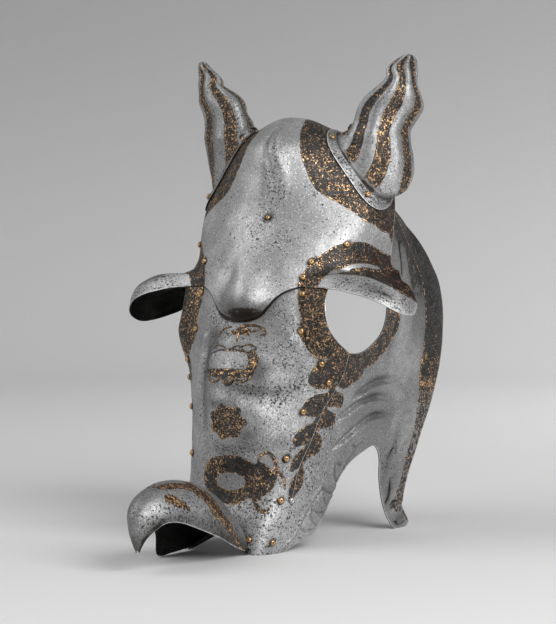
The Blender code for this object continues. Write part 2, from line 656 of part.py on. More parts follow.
def build_crown_plate():
    """Poll and forehead plate with its boss and the two eye hoods."""
    scale = (CROWN_COLUMNS * SHEET_STEP / CROWN_HALF_AROUND, CROWN_ROWS * SHEET_STEP)
    half = CROWN_HALF_AROUND
    corners = ((-half, 0.0), (half, 0.0), (half, 1.0), (-half, 1.0))
    outline = []
    for run in zip(corners, corners[1:] + corners[:1]):
        outline.extend(smooth_run(run, scale, SHEET_STEP))
    ears = []
    holes = []
    for side in (1, -1):
        loop = ear_loop(EAR_HOLE, EAR_COLUMNS)
        ears.append([Vector((side * around * scale[0], crown_down(around, level) * scale[1]))
                     for around, level in loop])
        for rivet in rivets_through(CROWN_LAYER, CROWN_FACE, side):
            down = crown_down(rivet.around, rivet.level)
            holes.append(round_hole(crown_place, side * rivet.around, down, scale))
    flat, triangles = cut_sheet(outline, ears, holes)
    shape = sheet_from(flat, [face[::-1] for face in triangles], crown_place, scale)
    thicken(shape, WALL)
    add_object("crown_plate", shape, BRIGHT_STEEL)


def snout_flange(share, up, stand):
    """Point of the flange behind the muzzle plate; share -1 to 1 across it."""
    around = share * SNOUT_LAP_AROUND
    level = value_at(MUZZLE_SNOUT_EDGE, abs(around)) + up
    return mask_point(around, level) + mask_normal(around, level) * (SNOUT_LAYER + WALL + stand)


def snout_arch(arch, share):
    """Point of one arched section of the snout."""
    turn = abs(share) * math.pi / 2.0
    fall = 1.0 - math.cos(turn)
    rim_z = arch.rim_z - (arch.left_drop if share < 0.0 else 0.0)
    return Vector((math.copysign(arch.rim_x * math.sin(turn), share),
                   arch.ridge_y + (arch.rim_y - arch.ridge_y) * fall,
                   arch.ridge_z + (rim_z - arch.ridge_z) * fall))


def build_snout():
    """Hollow hooked nose, open below, with the flange that goes behind the muzzle plate."""
    shape = bmesh.new()
    rows = []
    shares = [-1.0 + 2.0 * i / ARCH_COLUMNS for i in range(ARCH_COLUMNS + 1)]
    for row in SNOUT_FLANGE:
        rows.append([shape.verts.new(snout_flange(share, row.up, row.stand)) for share in shares])
    for arch in SNOUT:
        rows.append([shape.verts.new(snout_arch(arch, share)) for share in shares])
    for above, below in zip(rows, rows[1:]):
        for i in range(ARCH_COLUMNS):
            shape.faces.new((above[i], below[i], below[i + 1], above[i + 1]))
    bmesh.ops.triangulate(shape, faces=shape.faces)
    shape.verts.index_update()
    thicken(shape, WALL)
    trim_below_floor(shape)
    snout = add_object("snout", shape, SNOUT_STEEL)
    for side in (1, -1):
        drill(snout, side, SNOUT_LAYER, ("snout_upper", "snout_lower"))


def ear_ring(row):
    """One level section of the ear, seen from above anticlockwise."""
    ring = []
    for i in range(EAR_COLUMNS):
        turn = 2.0 * math.pi * i / EAR_COLUMNS + EAR_RING_START
        along_axis = row.half_length * math.cos(turn)
        across_axis = row.half_width * math.sin(turn)
        ring.append(Vector((row.x + along_axis * math.cos(EAR_TURN) - across_axis * math.sin(EAR_TURN),
                            row.y + along_axis * math.sin(EAR_TURN) + across_axis * math.cos(EAR_TURN),
                            row.z)))
    return ring


def ear_foot(size):
    """Ring of the ear's outer face on the crown plate."""
    return [mask_point(around, level) + mask_normal(around, level) * EAR_FACE
            for around, level in ear_loop(size, EAR_COLUMNS)]


def ear_rings():
    """Rings of the ear's outer face, from the edge of the flange up to the last section."""
    rings = [ear_foot(size) for size in EAR_FLANGE]
    root = rings[-1]
    first = ear_ring(EARS[0])
    for low, high in zip(root, first):
        high.z = max(high.z, low.z + EAR_LEAST_NECK)
    for step in range(1, EAR_NECK_RINGS + 1):
        share = step / (EAR_NECK_RINGS + 1)
        ring = []
        for a, b in zip(root, first):
            point = a.lerp(b, share ** EAR_NECK_SWELL)
            point.z = a.z + (b.z - a.z) * share
            ring.append(point)
        rings.append(ring)
    rings.append(first)
    rings.extend(ear_ring(row) for row in EARS[1:])
    return rings


def join_rings(shape, below, above, outwards):
    """Band of triangles between two rings, facing outwards or inwards."""
    count = len(below)
    for i in range(count):
        after = (i + 1) % count
        for corners in ((below[i], below[after], above[after]), (below[i], above[after], above[i])):
            shape.faces.new(corners if outwards else corners[::-1])


def close_ring(shape, ring, top, outwards):
    """Fan of triangles from a ring to a point."""
    pole = shape.verts.new(top)
    for i, vertex in enumerate(ring):
        corners = (vertex, ring[(i + 1) % len(ring)], pole)
        shape.faces.new(corners if outwards else corners[::-1])


def build_ear_guard(name, side):
    """Hollow flame shaped ear with a flange round its root."""
    shape = bmesh.new()
    outer = [[shape.verts.new(p) for p in ring] for ring in ear_rings()]
    for below, above in zip(outer, outer[1:]):
        join_rings(shape, below, above, True)
    close_ring(shape, outer[-1], EAR_TIP, True)
    shape.normal_update()
    hollow = outer[:len(outer) - EAR_SOLID_SECTIONS]
    inner = [[shape.verts.new(v.co - v.normal * WALL) for v in ring] for ring in hollow]
    for below, above in zip(inner, inner[1:]):
        join_rings(shape, below, above, False)
    join_rings(shape, inner[0], outer[0], True)
    middle = sum((v.co for v in inner[-1]), Vector()) / EAR_COLUMNS
    close_ring(shape, inner[-1], middle + Vector(EAR_HOLLOW_TOP), False)
    if side < 0:
        bmesh.ops.scale(shape, vec=(-1.0, 1.0, 1.0), verts=shape.verts)
        bmesh.ops.reverse_faces(shape, faces=shape.faces)
    ear = add_object(name, shape, EAR_STEEL)
    drill(ear, side, EAR_LAYER, ("ear_front", "ear_side", "ear_rear"))


def drill(thing, side, layer, names):
    """Cut the holes of the named rivets through the part of an object that lies at a layer."""
    cutters = bmesh.new()
    for rivet in RIVETS:
        if rivet.name not in names:
            continue
        seat, normal = rivet_seat(rivet, side)
        turn = normal.to_track_quat("Z", "Y").to_matrix().to_4x4()
        turn.translation = seat - normal * (rivet.outer - layer - WALL * 0.5)
        bmesh.ops.create_cone(cutters, cap_ends=True, segments=HOLE_SIDES, radius1=RIVET_HOLE_RADIUS,
                              radius2=RIVET_HOLE_RADIUS, depth=DRILL_LENGTH, matrix=turn)
    cutter = add_object(thing.name + "_drill_%d" % side, cutters, RIVET_BRASS)
    cutter.hide_render = True
    cutter.display_type = "WIRE"
    cut = thing.modifiers.new("rivet holes %d" % side, "BOOLEAN")
    cut.operation = "DIFFERENCE"
    cut.object = cutter


def rivet_mesh(grip):
    """Domed rivet along +Z: the seat of the head at 0, its clenched end below the grip."""
    seat = RIVET_CLEARANCE
    foot = -grip - RIVET_CLEARANCE
    profile = (
        (0.0, seat + RIVET_HEAD_HEIGHT),
        (RIVET_HEAD_RADIUS * 0.68, seat + RIVET_HEAD_HEIGHT * 0.74),
        (RIVET_HEAD_RADIUS, seat),
        (RIVET_SHANK_RADIUS, seat),
        (RIVET_SHANK_RADIUS, foot),
        (RIVET_CLENCH_RADIUS, foot),
        (RIVET_CLENCH_RADIUS * 0.6, foot - RIVET_CLENCH_HEIGHT),
        (0.0, foot - RIVET_CLENCH_HEIGHT),
    )
    shape = bmesh.new()
    line = [shape.verts.new((radius, 0.0, height)) for radius, height in profile]
    edges = [shape.edges.new(pair) for pair in zip(line, line[1:])]
    bmesh.ops.spin(shape, geom=line + edges, cent=(0.0, 0.0, 0.0), axis=(0.0, 0.0, 1.0),
                   angle=2.0 * math.pi, steps=RIVET_SIDES, use_merge=True)
    bmesh.ops.remove_doubles(shape, verts=shape.verts, dist=1e-6)
    bmesh.ops.recalc_face_normals(shape, faces=shape.faces)
    return shape


def rivet_seat(rivet, side):
    """Seat point and direction of a rivet."""
    around = side * rivet.around
    normal = mask_normal(around, rivet.level)
    return mask_point(around, rivet.level) + normal * rivet.outer, normal


def build_rivets():
    """Every rivet as its own object."""
    for rivet in RIVETS:
        for side, word in ((1, "right"), (-1, "left")):
            if not (rivet.right if side > 0 else rivet.left):
                continue
            seat, normal = rivet_seat(rivet, side)
            thing = add_object("rivet_%s_%s" % (rivet.name, word), rivet_mesh(rivet.outer - rivet.inner),
                               RIVET_BRASS)
            thing.rotation_euler = normal.to_track_quat("Z", "Y").to_euler()
            thing.location = seat - Vector((0.0, DEPTH_CENTRE, 0.0))


def main():
    """Build the armour."""
    clear_scene()
    build_crown_plate()
    build_muzzle_plate()
    build_cheek_plate("cheek_plate_right", 1)
    build_cheek_plate("cheek_plate_left", -1)
    build_snout()
    build_ear_guard("ear_guard_right", 1)
    build_ear_guard("ear_guard_left", -1)
    build_rivets()


if __name__ == "__main__":
    main()
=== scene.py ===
"""Horse head armour: the finished steel of a full shaffron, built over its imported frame.

Each plate is cut flat from its outline, divided into small squares, laid on the mask surface with
its hammered relief, and given its wall. A place on the mask is named by two numbers:

    around - 0 on the centre line, 1 on the brow line, 2 on the temple line, 3 on the rear edge,
             negative on the left
    level  - 0 below the floor line, one more for each row of MASK, 13 at the rear edge of the poll

The crown also has down: 0 at its rear top edge, 1 at its front edge or on the lip of a hood.
"""
import math

import bmesh
import bpy
import numpy as np
from bpy.props import FloatProperty, FloatVectorProperty, PointerProperty
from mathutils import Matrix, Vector


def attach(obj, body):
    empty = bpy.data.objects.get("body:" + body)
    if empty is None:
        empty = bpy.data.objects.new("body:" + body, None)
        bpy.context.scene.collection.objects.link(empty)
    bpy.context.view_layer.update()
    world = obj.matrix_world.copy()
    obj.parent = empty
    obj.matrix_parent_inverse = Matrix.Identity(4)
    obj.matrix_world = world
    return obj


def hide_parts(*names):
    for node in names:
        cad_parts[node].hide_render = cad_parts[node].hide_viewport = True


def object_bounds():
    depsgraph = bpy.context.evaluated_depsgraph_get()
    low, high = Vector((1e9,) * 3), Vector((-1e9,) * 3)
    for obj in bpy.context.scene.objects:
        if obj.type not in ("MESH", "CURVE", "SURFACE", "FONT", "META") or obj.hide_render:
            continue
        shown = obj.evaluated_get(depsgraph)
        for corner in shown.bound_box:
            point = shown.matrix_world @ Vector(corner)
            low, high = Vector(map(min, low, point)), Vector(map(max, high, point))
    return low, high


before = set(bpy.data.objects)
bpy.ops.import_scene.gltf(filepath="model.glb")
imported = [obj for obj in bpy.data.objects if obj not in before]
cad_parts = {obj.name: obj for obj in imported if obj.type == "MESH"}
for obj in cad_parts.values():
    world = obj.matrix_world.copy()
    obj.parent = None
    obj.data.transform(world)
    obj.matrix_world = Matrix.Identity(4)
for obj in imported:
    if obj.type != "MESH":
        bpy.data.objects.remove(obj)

CAD_BOX = [list(corner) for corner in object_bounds()]

bl_info = {
    "name": "Horse Head Armour",
    "version": (1, 0, 0),
    "blender": (4, 5, 0),
    "location": "View3D > Sidebar > Armour",
    "description": "Builds the chased, etched and gilt plates of a horse's head armour",
    "category": "Object",
}


def metres(*rows):
    """Table of sizes that is given in millimetres."""
    return np.array(rows) / 1000.0


# The mask surface, a row for each level: front y z, brow x y z, temple x y z, rear x y z
MASK = metres(
    (0, -10, 52, -6, -10, 78, 100, -10, 89, 290, -10), (4, 30, 58, 10, 30, 86, 112, 30, 94, 292, 30),
    (14, 75, 66, 32, 75, 94, 128, 75, 100, 300, 75), (8, 120, 72, 46, 120, 101, 145, 120, 107, 318, 120),
    (5, 165, 79, 58, 165, 108, 158, 165, 114, 334, 165),
    (13, 215, 92, 74, 215, 115, 168, 215, 120, 345, 215),
    (34, 265, 86, 70, 265, 119, 176, 265, 123, 345, 265),
    (46, 315, 78, 76, 315, 121, 182, 315, 124, 332, 315),
    (62, 360, 90, 100, 360, 123, 188, 360, 123, 305, 360),
    (90, 410, 104, 136, 410, 126, 196, 410, 122, 262, 410),
    (100, 460, 100, 158, 455, 121, 208, 440, 127, 240, 440),
    (108, 500, 70, 164, 502, 106, 216, 470, 120, 245, 460),
    (150, 532, 48, 182, 520, 80, 226, 490, 100, 250, 475),
    (195, 536, 35, 215, 520, 60, 240, 495, 80, 260, 480),
)
BROW_LINE = MASK[:, 2:5]
MASK_LINES = (BROW_LINE * (-1.0, 1.0, 1.0), np.insert(MASK[:, 0:2], 0, 0.0, axis=1), BROW_LINE,
              MASK[:, 5:8], MASK[:, 8:11])
DEPTH_CENTRE = 0.0730               # y of the mask that stands at y = 0 in the frame
FLAT = np.array((0.090, 0.045))     # metres along the surface for one step of around and of level
SOCKET_AROUND = (0.80, 1.30, 1.42, 2.10)
SOCKET_LEVEL = (4.70, 6.20, 7.10, 8.00)
SOCKET_SHIFT = (0.0115, -0.019, 0.0)    # the surface stands further out and forward at the eye
RIM_START, RIM_WIDTH, RIM_HEIGHT = 2.72, 0.28, 0.008
TOP_LEVEL = 13

WALL = 0.0013
CUT_STEP = 0.002                    # spacing of the points on a plate's outline
CROWN_SQUARES = (282, 176)          # squares across and along the sheets that have no outline
SNOUT_SQUARES = (140, 230)
EAR_SQUARES = (170, 150)
CROWN_SWELL, MUZZLE_SWELL, CHEEK_SWELL = 0.045, 0.040, 0.050    # size of the hammered unevenness
SNOUT_SWELL, EAR_SWELL = 0.035, 0.030
FAR_OUT = -20.0                     # millimetres, the depth of a place well outside a band
CHEEK_FACE = SNOUT_FACE = 0.0013    # height of each plate's outer face above the mask surface
MUZZLE_FACE = 0.0036
CROWN_FACE = 0.0059
EAR_FACE = 0.0082

# Plate outlines, as runs of (around, level) that meet at corners
MUZZLE_RUNS = (
    ((0, 1.05), (0.35, 0.76), (0.62, 0.5), (0.78, 0.4)),
    ((0.78, 0.4), (0.84, 0)),
    ((0.84, 0), (1.2, 0)),
    ((1.2, 0), (1.17, 1.75), (1.13, 2.55), (1.21, 3.35), (1.28, 4.39), (1.47, 5.41), (1.49, 5.58)),
    ((1.49, 5.58), (1.32, 5.87), (1.23, 6.17), (1.21, 6.61), (1.22, 7), (1.22, 7.25)),
    ((1.22, 7.25), (1, 7.3), (0.7, 7.3), (0.5, 7.05), (0.3, 6.8), (0, 6.7)),
)
CHEEK_RUNS = (
    ((1, 0), (0.86, 1), (0.8, 1.6), (0.76, 2.9), (0.82, 4.1), (0.98, 4.75), (0.88, 5.3), (0.72, 6.1),
     (0.74, 7.1), (0.72, 7.9), (0.95, 8.6)),
    ((0.95, 8.6), (1.3, 8.9), (1.98, 9.2), (2.2, 9.35)),
    ((2.2, 9.35), (2.8, 8.72), (3.02, 7.62), (3.04, 6.74), (3, 5.4), (2.98, 4.34), (2.96, 3.2),
     (2.96, 2.24), (2.96, 1.16), (3.06, 0.62), (3.09, 0.42), (3.04, 0.24), (2.98, 0.21)),
    ((2.98, 0.21), (2.9, 0.32), (2.83, 0.62), (2.76, 1), (2.7, 1.3), (2.59, 1.9), (2.47, 2.6), (2.34, 2.94),
     (2.21, 2.87), (2.03, 2.59), (1.93, 2.13), (1.88, 1.34), (1.84, 0.93), (1.76, 0.66), (1.5, 0.39),
     (1.25, 0.1), (1.16, 0)),
    ((1.16, 0), (1, 0)),
)
EYE_HOLE = (
    (1.49, 5.55), (1.67, 5.52), (1.81, 5.56), (1.95, 5.72), (2.06, 5.95), (2.12, 6.3), (2.12, 6.75),
    (2.06, 7.15), (1.92, 7.5), (1.65, 7.65), (1.38, 7.5), (1.2, 7.1), (1.19, 6.6), (1.2, 6.18),
    (1.29, 5.88), (1.49, 5.55)
)

# Crown plate: its front edge between the hoods, and shares of down where its parts meet
SEAM = (
    (0, 6.31), (0.14, 6.33), (0.25, 6.39), (0.34, 6.48), (0.43, 6.65), (0.52, 6.85), (0.61, 7), (0.71, 7.1),
    (0.83, 7.17), (1, 7.18)
)
CROWN_HALF_AROUND = 2.08
FLARE_LEVEL = 8.10
BODY_SHARE = 20 / 31
RIDGE_SHARE = 28 / 31
CROWN_LENGTH = 190.0                # millimetres for down 0 to 1, from the top to the seam
HOOD_LENGTH = 130.0                 # the same over a hood
AROUND_LENGTH = 90.0                # millimetres for one step of around
HOOD_START = 0.85
HOOD_BLEND = 0.12

# Brow boss, its bulb, the hollow beside the bulb and the dent above it: x, z and half sizes
BOSS, BULB, HOLLOW, DENT = metres((6, 318, 26, 30), (13, 303, 22, 19), (-22, 336, 12, 18), (4, 372, 20, 12))
BOSS_HEIGHT, HOLLOW_DEPTH, DENT_DEPTH, UNDERCUT = 0.014, 0.0048, 0.0012, 0.0060
CREASE = ((0, 12.2), (-0.01, 11), (0.06, 10.5), (0.08, 10.1), (0.1, 9.5), (0.1, 9.2))

# Eye hood from its front root to its rear root: ridge x y z, lip x y z, extra drop on the left
HOOD = metres(
    (82, 76, 336, 74, 66, 322, 0), (102, 78, 339, 96, 69, 323, 0), (122, 81, 340, 118, 66, 322, 0),
    (141, 82, 339, 139, 65, 318, 0), (158, 84, 336, 160, 65, 313, 0), (176, 86, 329, 180, 70, 305, 0),
    (191, 93, 322, 197, 84, 294, 2), (201.5, 108, 313, 204.5, 103, 291, 10),
    (200, 125, 308, 199.5, 123, 296, 21), (180, 147, 325, 180, 149, 312, 30),
    (157, 170, 333, 164, 173, 315, 20), (140, 197, 345, 145, 200, 331, 0),
)

# Snout from the muzzle to the tip: ridge y z, near rim x y z, extra drop on the left
SNOUT = metres(
    (-6, 41, 40.5, -13, 4, 0), (-22, 61, 42.5, -30, 9, 6), (-47, 80, 44, -52, 17, 15),
    (-78, 93, 46, -80, 29, 26), (-86, 95, 45, -87, 32, 0), (-117, 100.5, 40, -122, 46, 0),
    (-150, 98, 33, -150, 56, 0), (-180, 88, 26, -168, 57, 0), (-198, 71, 18, -178, 50, 0),
    (-202, 52, 10.5, -184, 41, 0), (-197, 37, 6, -188, 32, 0), (-192, 26, 2.5, -189, 24, 0),
)
SNOUT_GIRTH, SNOUT_ROW = 70.0, 12.0     # millimetres from the ridge to a rim, and from row to row

# Flange of the snout behind the nose plate: its half width as around, then for each row the levels
# above the nose plate's foot and the extra height off the mask
SNOUT_LAP_AROUND = 0.74
SNOUT_FLANGE = ((0.42, 0.0), (0.03, 0.0), (-0.06, 0.0), (-0.14, 0.0038), (-0.10, 0.0075))

# Ear guard sections: x y z, half length and half width of an ellipse turned EAR_TURN from +X
EARS = metres(
    (112, 198.5, 517.5, 47, 35), (117, 201, 533.4, 45.5, 29), (122.8, 201, 550.4, 43, 24.7),
    (127, 199.5, 565.9, 38.5, 23.5), (133.5, 199.5, 579, 30, 18), (141.5, 198.5, 592, 22, 10.5),
    (144.5, 198.5, 605, 17.5, 6), (150, 197, 619, 8.8, 4.6), (151.5, 197, 623, 0.8, 0.6),
)
EAR_TURN = math.radians(40)
EAR_SEAM = math.radians(15)         # where round the ear its sheet meets
EAR_TIP = 0.6235
EAR_ROOT = (1.45, 10.72)
EAR_ROOT_REACH = (0.53, 1.20)
EAR_FLANGE = 1.24
EAR_HOLE = 0.93
EAR_RING = 4.5                      # millimetres between the rings of the flange

# Flutes of each ear: how many round it, and the middle of one etched flute as (height, degrees)
EAR_FLUTES = {
    "right": (7, (
        (440, -124), (453, -119), (471, -109), (489, -99), (507, -92), (526, -92), (540, -95), (553, -91),
        (567, -84), (581, -84), (597, -98), (612, -112), (624, -116))),
    "left": (6, (
        (440, -150), (480, -155), (541, -154), (555, -157), (580, -149), (594, -156), (624, -154))),
}

# Swaying outline of each ear: direction in degrees, then (height, shift of the near side, of the far side)
EAR_SWAY = {
    "right": (30.0, metres(
        (440, 2, 21), (464, 2, 14), (486, 3, 5), (501, 4, -2.5), (517, 6, -8), (525, 6.5, -8.5),
        (537, 5.5, -4), (552, 3, 2), (569, 6, 0), (584, 7, -2), (600, 0, 1), (611, -1, 3), (619, 2, 3),
        (624, 2, 3))),
    "left": (150.0, metres(
        (440, 8, 0), (478, 6.5, 0), (504, 4.5, 0), (525, 2, 0), (539, 1, 4.5), (551, 0, 3.5), (569, -3, 6),
        (578, -3.5, 4.5), (588, -4, 0.5), (596, -5, 5), (607, -6, 1), (613, -5, -2.5), (624, -3, -3))),
}
EAR_TIP_DROP = {"right": 0.005, "left": 0.0}

# Rivets on both sides: around, level, height of the head's seat
RIVETS = (
    ("brow_outer", 1.14, 8.32, CROWN_FACE), ("brow_upper", 0.81, 7.86, CROWN_FACE),
    ("brow_lower", 0.81, 7.44, CROWN_FACE), ("muzzle_top", 0.9, 7, MUZZLE_FACE),
    ("muzzle_eye", 0.84, 6.09, MUZZLE_FACE), ("muzzle_upper", 1.03, 5.31, MUZZLE_FACE),
    ("muzzle_middle", 1.14, 4.84, MUZZLE_FACE), ("muzzle_side", 0.95, 4.13, MUZZLE_FACE),
    ("muzzle_lower", 0.89, 2.87, MUZZLE_FACE), ("muzzle_seam", 0.99, 1.74, MUZZLE_FACE),
    ("muzzle_foot", 1.12, 0.61, MUZZLE_FACE), ("snout_upper", 0.35, 0.95, MUZZLE_FACE),
    ("snout_lower", 0.67, 0.68, MUZZLE_FACE), ("ear_front", 0.9, 11.15, EAR_FACE),
    ("ear_side", 1.14, 9.62, EAR_FACE), ("ear_rear", 1.62, 12.05, EAR_FACE),
    ("crown_middle", 0.11, 8.97, CROWN_FACE),
)
RIGHT_ONLY = ("brow_lower", "crown_middle")
SMALL_RIVET = 0.72                  # size of the rivet in the middle of the crown
PLAIN_RIVET = 0.95                  # width of a plain rivet
HOLE_RADIUS, HOLE_HEIGHT = 0.0012, 0.00012
RIVET_SIDES, FLOOR_SIDES = 20, 96
PLAIN_RIVETS = ((1.17, 1.74), (-1.17, 1.74))
# Old empty rivet holes, drawn as thin near-black discs: painted shade in place of open holes
EMPTY_HOLES = ((-0.74, 7.55), (-0.28, 8.45), (0.06, 8.42), (0.3, 8.34), (0.62, 9.3), (-0.52, 8.9))

# Etched and gilt bands, as closed loops of (around, level); the same on both sides
MUZZLE_BAND = (
    (1.3, 7.6), (1.22, 6.6), (1.26, 6.1), (1.6, 5.5), (1.6, 5.2), (1.2, 5.45), (1, 5.42), (0.91, 5.6),
    (0.84, 5.85), (0.8, 6.1), (0.86, 6.4), (0.84, 6.9), (0.86, 7.6)
)
LEAF = (
    (1.6, 5.6), (1.32, 5.6), (1.1, 5.4), (0.94, 5.26), (0.86, 5), (0.88, 4.8), (1, 4.68), (1.19, 4.66),
    (1.17, 4.58), (1.02, 4.54), (0.92, 4.36), (0.94, 4.12), (1.06, 3.99), (1.17, 3.98), (1.12, 3.8),
    (0.99, 3.66), (0.92, 3.4), (0.98, 3.18), (1.13, 3.24), (1.07, 3.08), (0.99, 2.84), (1, 2.5),
    (1.14, 2.62), (1.1, 2.44), (1.05, 2.16), (1.14, 1.72), (1.28, 2), (1.27, 2.44), (1.2, 2.68),
    (1.28, 2.88), (1.42, 3), (1.41, 3.34), (1.28, 3.6), (1.4, 3.66), (1.54, 3.72), (1.52, 4), (1.33, 4.18),
    (1.42, 4.22), (1.59, 4.18), (1.55, 4.48), (1.32, 4.64), (1.36, 4.72), (1.52, 4.64), (1.68, 4.76),
    (1.83, 4.92), (1.82, 5.18), (1.6, 5.38)
)
EYE_BAND = (
    (1.49, 5.06), (1.8, 5.08), (2.02, 5.22), (2.2, 5.58), (2.32, 6), (2.36, 6.4), (2.36, 7), (2.3, 7.6),
    (1.6, 8), (0.8, 7.6), (0.8, 6.2), (1, 5.5)
)
REAR_BAND = (
    (2.1, 9.6), (2.56, 8.6), (2.72, 7.9), (2.78, 7.2), (2.78, 6), (2.76, 5), (2.8, 4.3), (2.85, 3.4),
    (2.86, 2.6), (2.88, 1.9), (2.86, 1.4), (2.82, 1.04), (2.96, 0.8), (3.3, 0.7), (3.3, 9.6)
)
CRESCENT = (
    (0.46, 13.6), (0.46, 11.8), (0.46, 11), (0.44, 10.4), (0.53, 9.72), (0.8, 9.32), (1.19, 8.92),
    (1.31, 8.87), (1.5, 8.8), (1.72, 8.66), (1.9, 8.62), (2.3, 8.6), (2.3, 13.6)
)

# Band over each eye on the crown, as (around, down)
BROW_BAND = (
    (0.8, 1.04), (0.78, 0.9), (0.79, 0.8), (0.87, 0.668), (1.05, 0.616), (1.43, 0.606), (1.82, 0.632),
    (2.16, 0.668), (2.16, 0.735), (1.93, 0.722), (1.7, 0.692), (1.5, 0.688), (1.31, 0.702), (1.14, 0.744),
    (1.03, 0.788), (0.97, 0.86), (0.95, 0.94), (0.93, 1.04)
)

# Russet stripe along each hood: places around, its upper and its lower edge as down
HOOD_STRIPE = (
    (1.05, 1.2, 1.35, 1.52, 1.7, 1.85, 2.08),
    (0.836, 0.752, 0.714, 0.703, 0.704, 0.712, 0.718),
    (0.83, 0.862, 0.892, 0.915, 0.928, 0.93, 0.93),
)

# Medallion on the nose, its bare panel, the leaf beside it and the rosette above: centre, size, depth of
# the lobes round it and their number
NOSE_ORNAMENTS = (((0.03, 2.28), (0.55, 0.7), 0.02, 5), ((0.04, 2.23), (0.28, 0.25), 0, 8),
                  ((0.58, 2.24), (0.21, 0.52), 0.12, 3), ((0.01, 3.86), (0.28, 0.44), 0.1, 7))

# Etched strokes beside the medallion, round the bare panel and above it: full width in millimetres, line
STROKES = (
    (5.2, ((0.5, 2.76), (0.52, 2.96), (0.62, 3.04), (0.73, 2.84), (0.79, 2.54), (0.92, 2.34), (0.99, 2.06))),
    (8, ((0.8, 2.62), (0.76, 2.34), (0.66, 2.1), (0.62, 1.78))),
    (5.8, ((0.42, 2.2), (0.5, 1.92), (0.58, 1.64), (0.7, 1.48), (0.8, 1.44), (0.86, 1.54))),
    (3, ((-0.36, 5.5), (-0.22, 5.59), (-0.02, 5.6), (0.15, 5.58), (0.23, 5.5))),
    (3.4, ((0.19, 5.54), (0.24, 5.36), (0.22, 5.14))),
    (3, ((0.26, 5.62), (0.32, 5.4), (0.3, 5.18), (0.24, 5.02))),
    (5.2, ((-0.37, 5.09), (-0.06, 5.1), (0.26, 5.11))),
    (6, ((-0.3, 5.01), (-0.16, 4.99), (-0.04, 5.01), (0.1, 4.99), (0.22, 5.02))),
    (4.4, ((0.23, 5.58), (0.28, 5.36), (0.25, 5.12))),
    (5, ((-0.1, 6.06), (0.02, 6.02), (0.16, 6.08))),
    (3, ((0.04, 6.22), (0.2, 6.08), (0.3, 6.1))),
    (2.6, ((-0.36, 5.5), (-0.41, 5.28), (-0.36, 5.08))),
    (3.4, ((-0.37, 5.08), (-0.31, 4.9), (-0.18, 4.83), (-0.08, 4.98))),
    (6.4, ((-0.1, 4.99), (-0.03, 4.84), (0.03, 4.82), (0.09, 4.97))),
    (3.6, ((0.07, 4.96), (0.16, 4.86), (0.25, 4.94), (0.29, 5.1))),
    (2.2, ((-0.36, 5.58), (-0.31, 5.69), (-0.22, 5.71), (-0.13, 5.64))),
    (2.2, ((-0.08, 5.62), (0.05, 5.71), (0.13, 5.64))),
    (2.2, ((0.08, 5.68), (0.2, 5.75), (0.29, 5.66), (0.24, 5.56))),
    (2.6, ((-0.32, 5.92), (-0.27, 6.06), (-0.2, 6.14), (-0.11, 6.17))),
    (3.4, ((-0.02, 6.1), (0.08, 6.2), (0.24, 6.22), (0.36, 6.14), (0.4, 6.03), (0.33, 5.98))),
    (2.6, ((0.1, 6.24), (0.03, 6.1), (0.02, 5.96), (0.02, 5.78))),
    (2.8, ((0.11, 5.98), (0.15, 6.02), (0.18, 5.98))),
)

# Fine gilt lines inlaid on the nose: width in millimetres and line
INLAY = (
    (1.3, ((-0.32, 5.92), (-0.27, 6.06), (-0.2, 6.14), (-0.11, 6.17))),
    (1.8, ((-0.02, 6.1), (0.08, 6.2), (0.24, 6.22), (0.36, 6.14), (0.4, 6.03), (0.33, 5.98))),
    (1.6, ((0.12, 6.24), (0.04, 6.12), (0.02, 5.98), (0.02, 5.8))),
    (1.5, ((0.11, 5.98), (0.15, 6.02), (0.18, 5.98), (0.14, 5.95))),
    (1.4, ((-0.12, 6.04), (-0.04, 6), (0.06, 6.08), (0.16, 6.12))),
    (1, ((0.25, 5.62), (0.31, 5.4), (0.29, 5.18), (0.24, 5.04))),
    (0.9, ((0.08, 5.68), (0.2, 5.75), (0.29, 5.66), (0.24, 5.56))),
    (1.3, ((-0.06, 4.93), (-0.03, 4.84), (0.03, 4.82), (0.07, 4.92))),
)
INLAY_STEP = 0.0010
INLAY_CROWN = 0.00022

# Chased lines and swellings on the nose: height and half width in millimetres, line
NOSE_RELIEF = (
    (5.2, 8, ((0.32, 5.22), (0.48, 5.52), (0.68, 5.86))),
    (-2, 10, ((0.36, 4.98), (0.52, 5.16))),
    (-3, 10.5, ((0.18, 4.68), (0.34, 4.58), (0.48, 4.6))),
    (-1.6, 8, ((0.34, 5.16), (0.28, 4.94))),
    (2.8, 8, ((-0.22, 4.4), (0, 4.4), (0.12, 4.34))),
    (2.4, 8.5, ((0.24, 4.14), (0.34, 4.16), (0.42, 4.1))),
    (-1.8, 9, ((0.26, 3.56), (0.34, 3.4), (0.3, 3.24))),
    (-2.2, 5, ((-0.4, 5.98), (-0.46, 5.66), (-0.44, 5.2), (-0.46, 4.6), (-0.46, 3.8))),
    (2, 5, ((-0.56, 5.9), (-0.58, 5.3), (-0.58, 4.6), (-0.58, 3.8))),
    (-1.8, 9, ((-0.26, 5.98), (-0.36, 5.84))),
    (1.4, 12, ((0.56, 3.9), (0.66, 3.5))),
    (1.2, 11, ((0.02, 3.2), (0.24, 3.16))),
    (-1.2, 10, ((0.5, 3.1), (0.76, 3.2))),
    (1.4, 12, ((0.3, 1.36), (0.8, 1.1))),
)

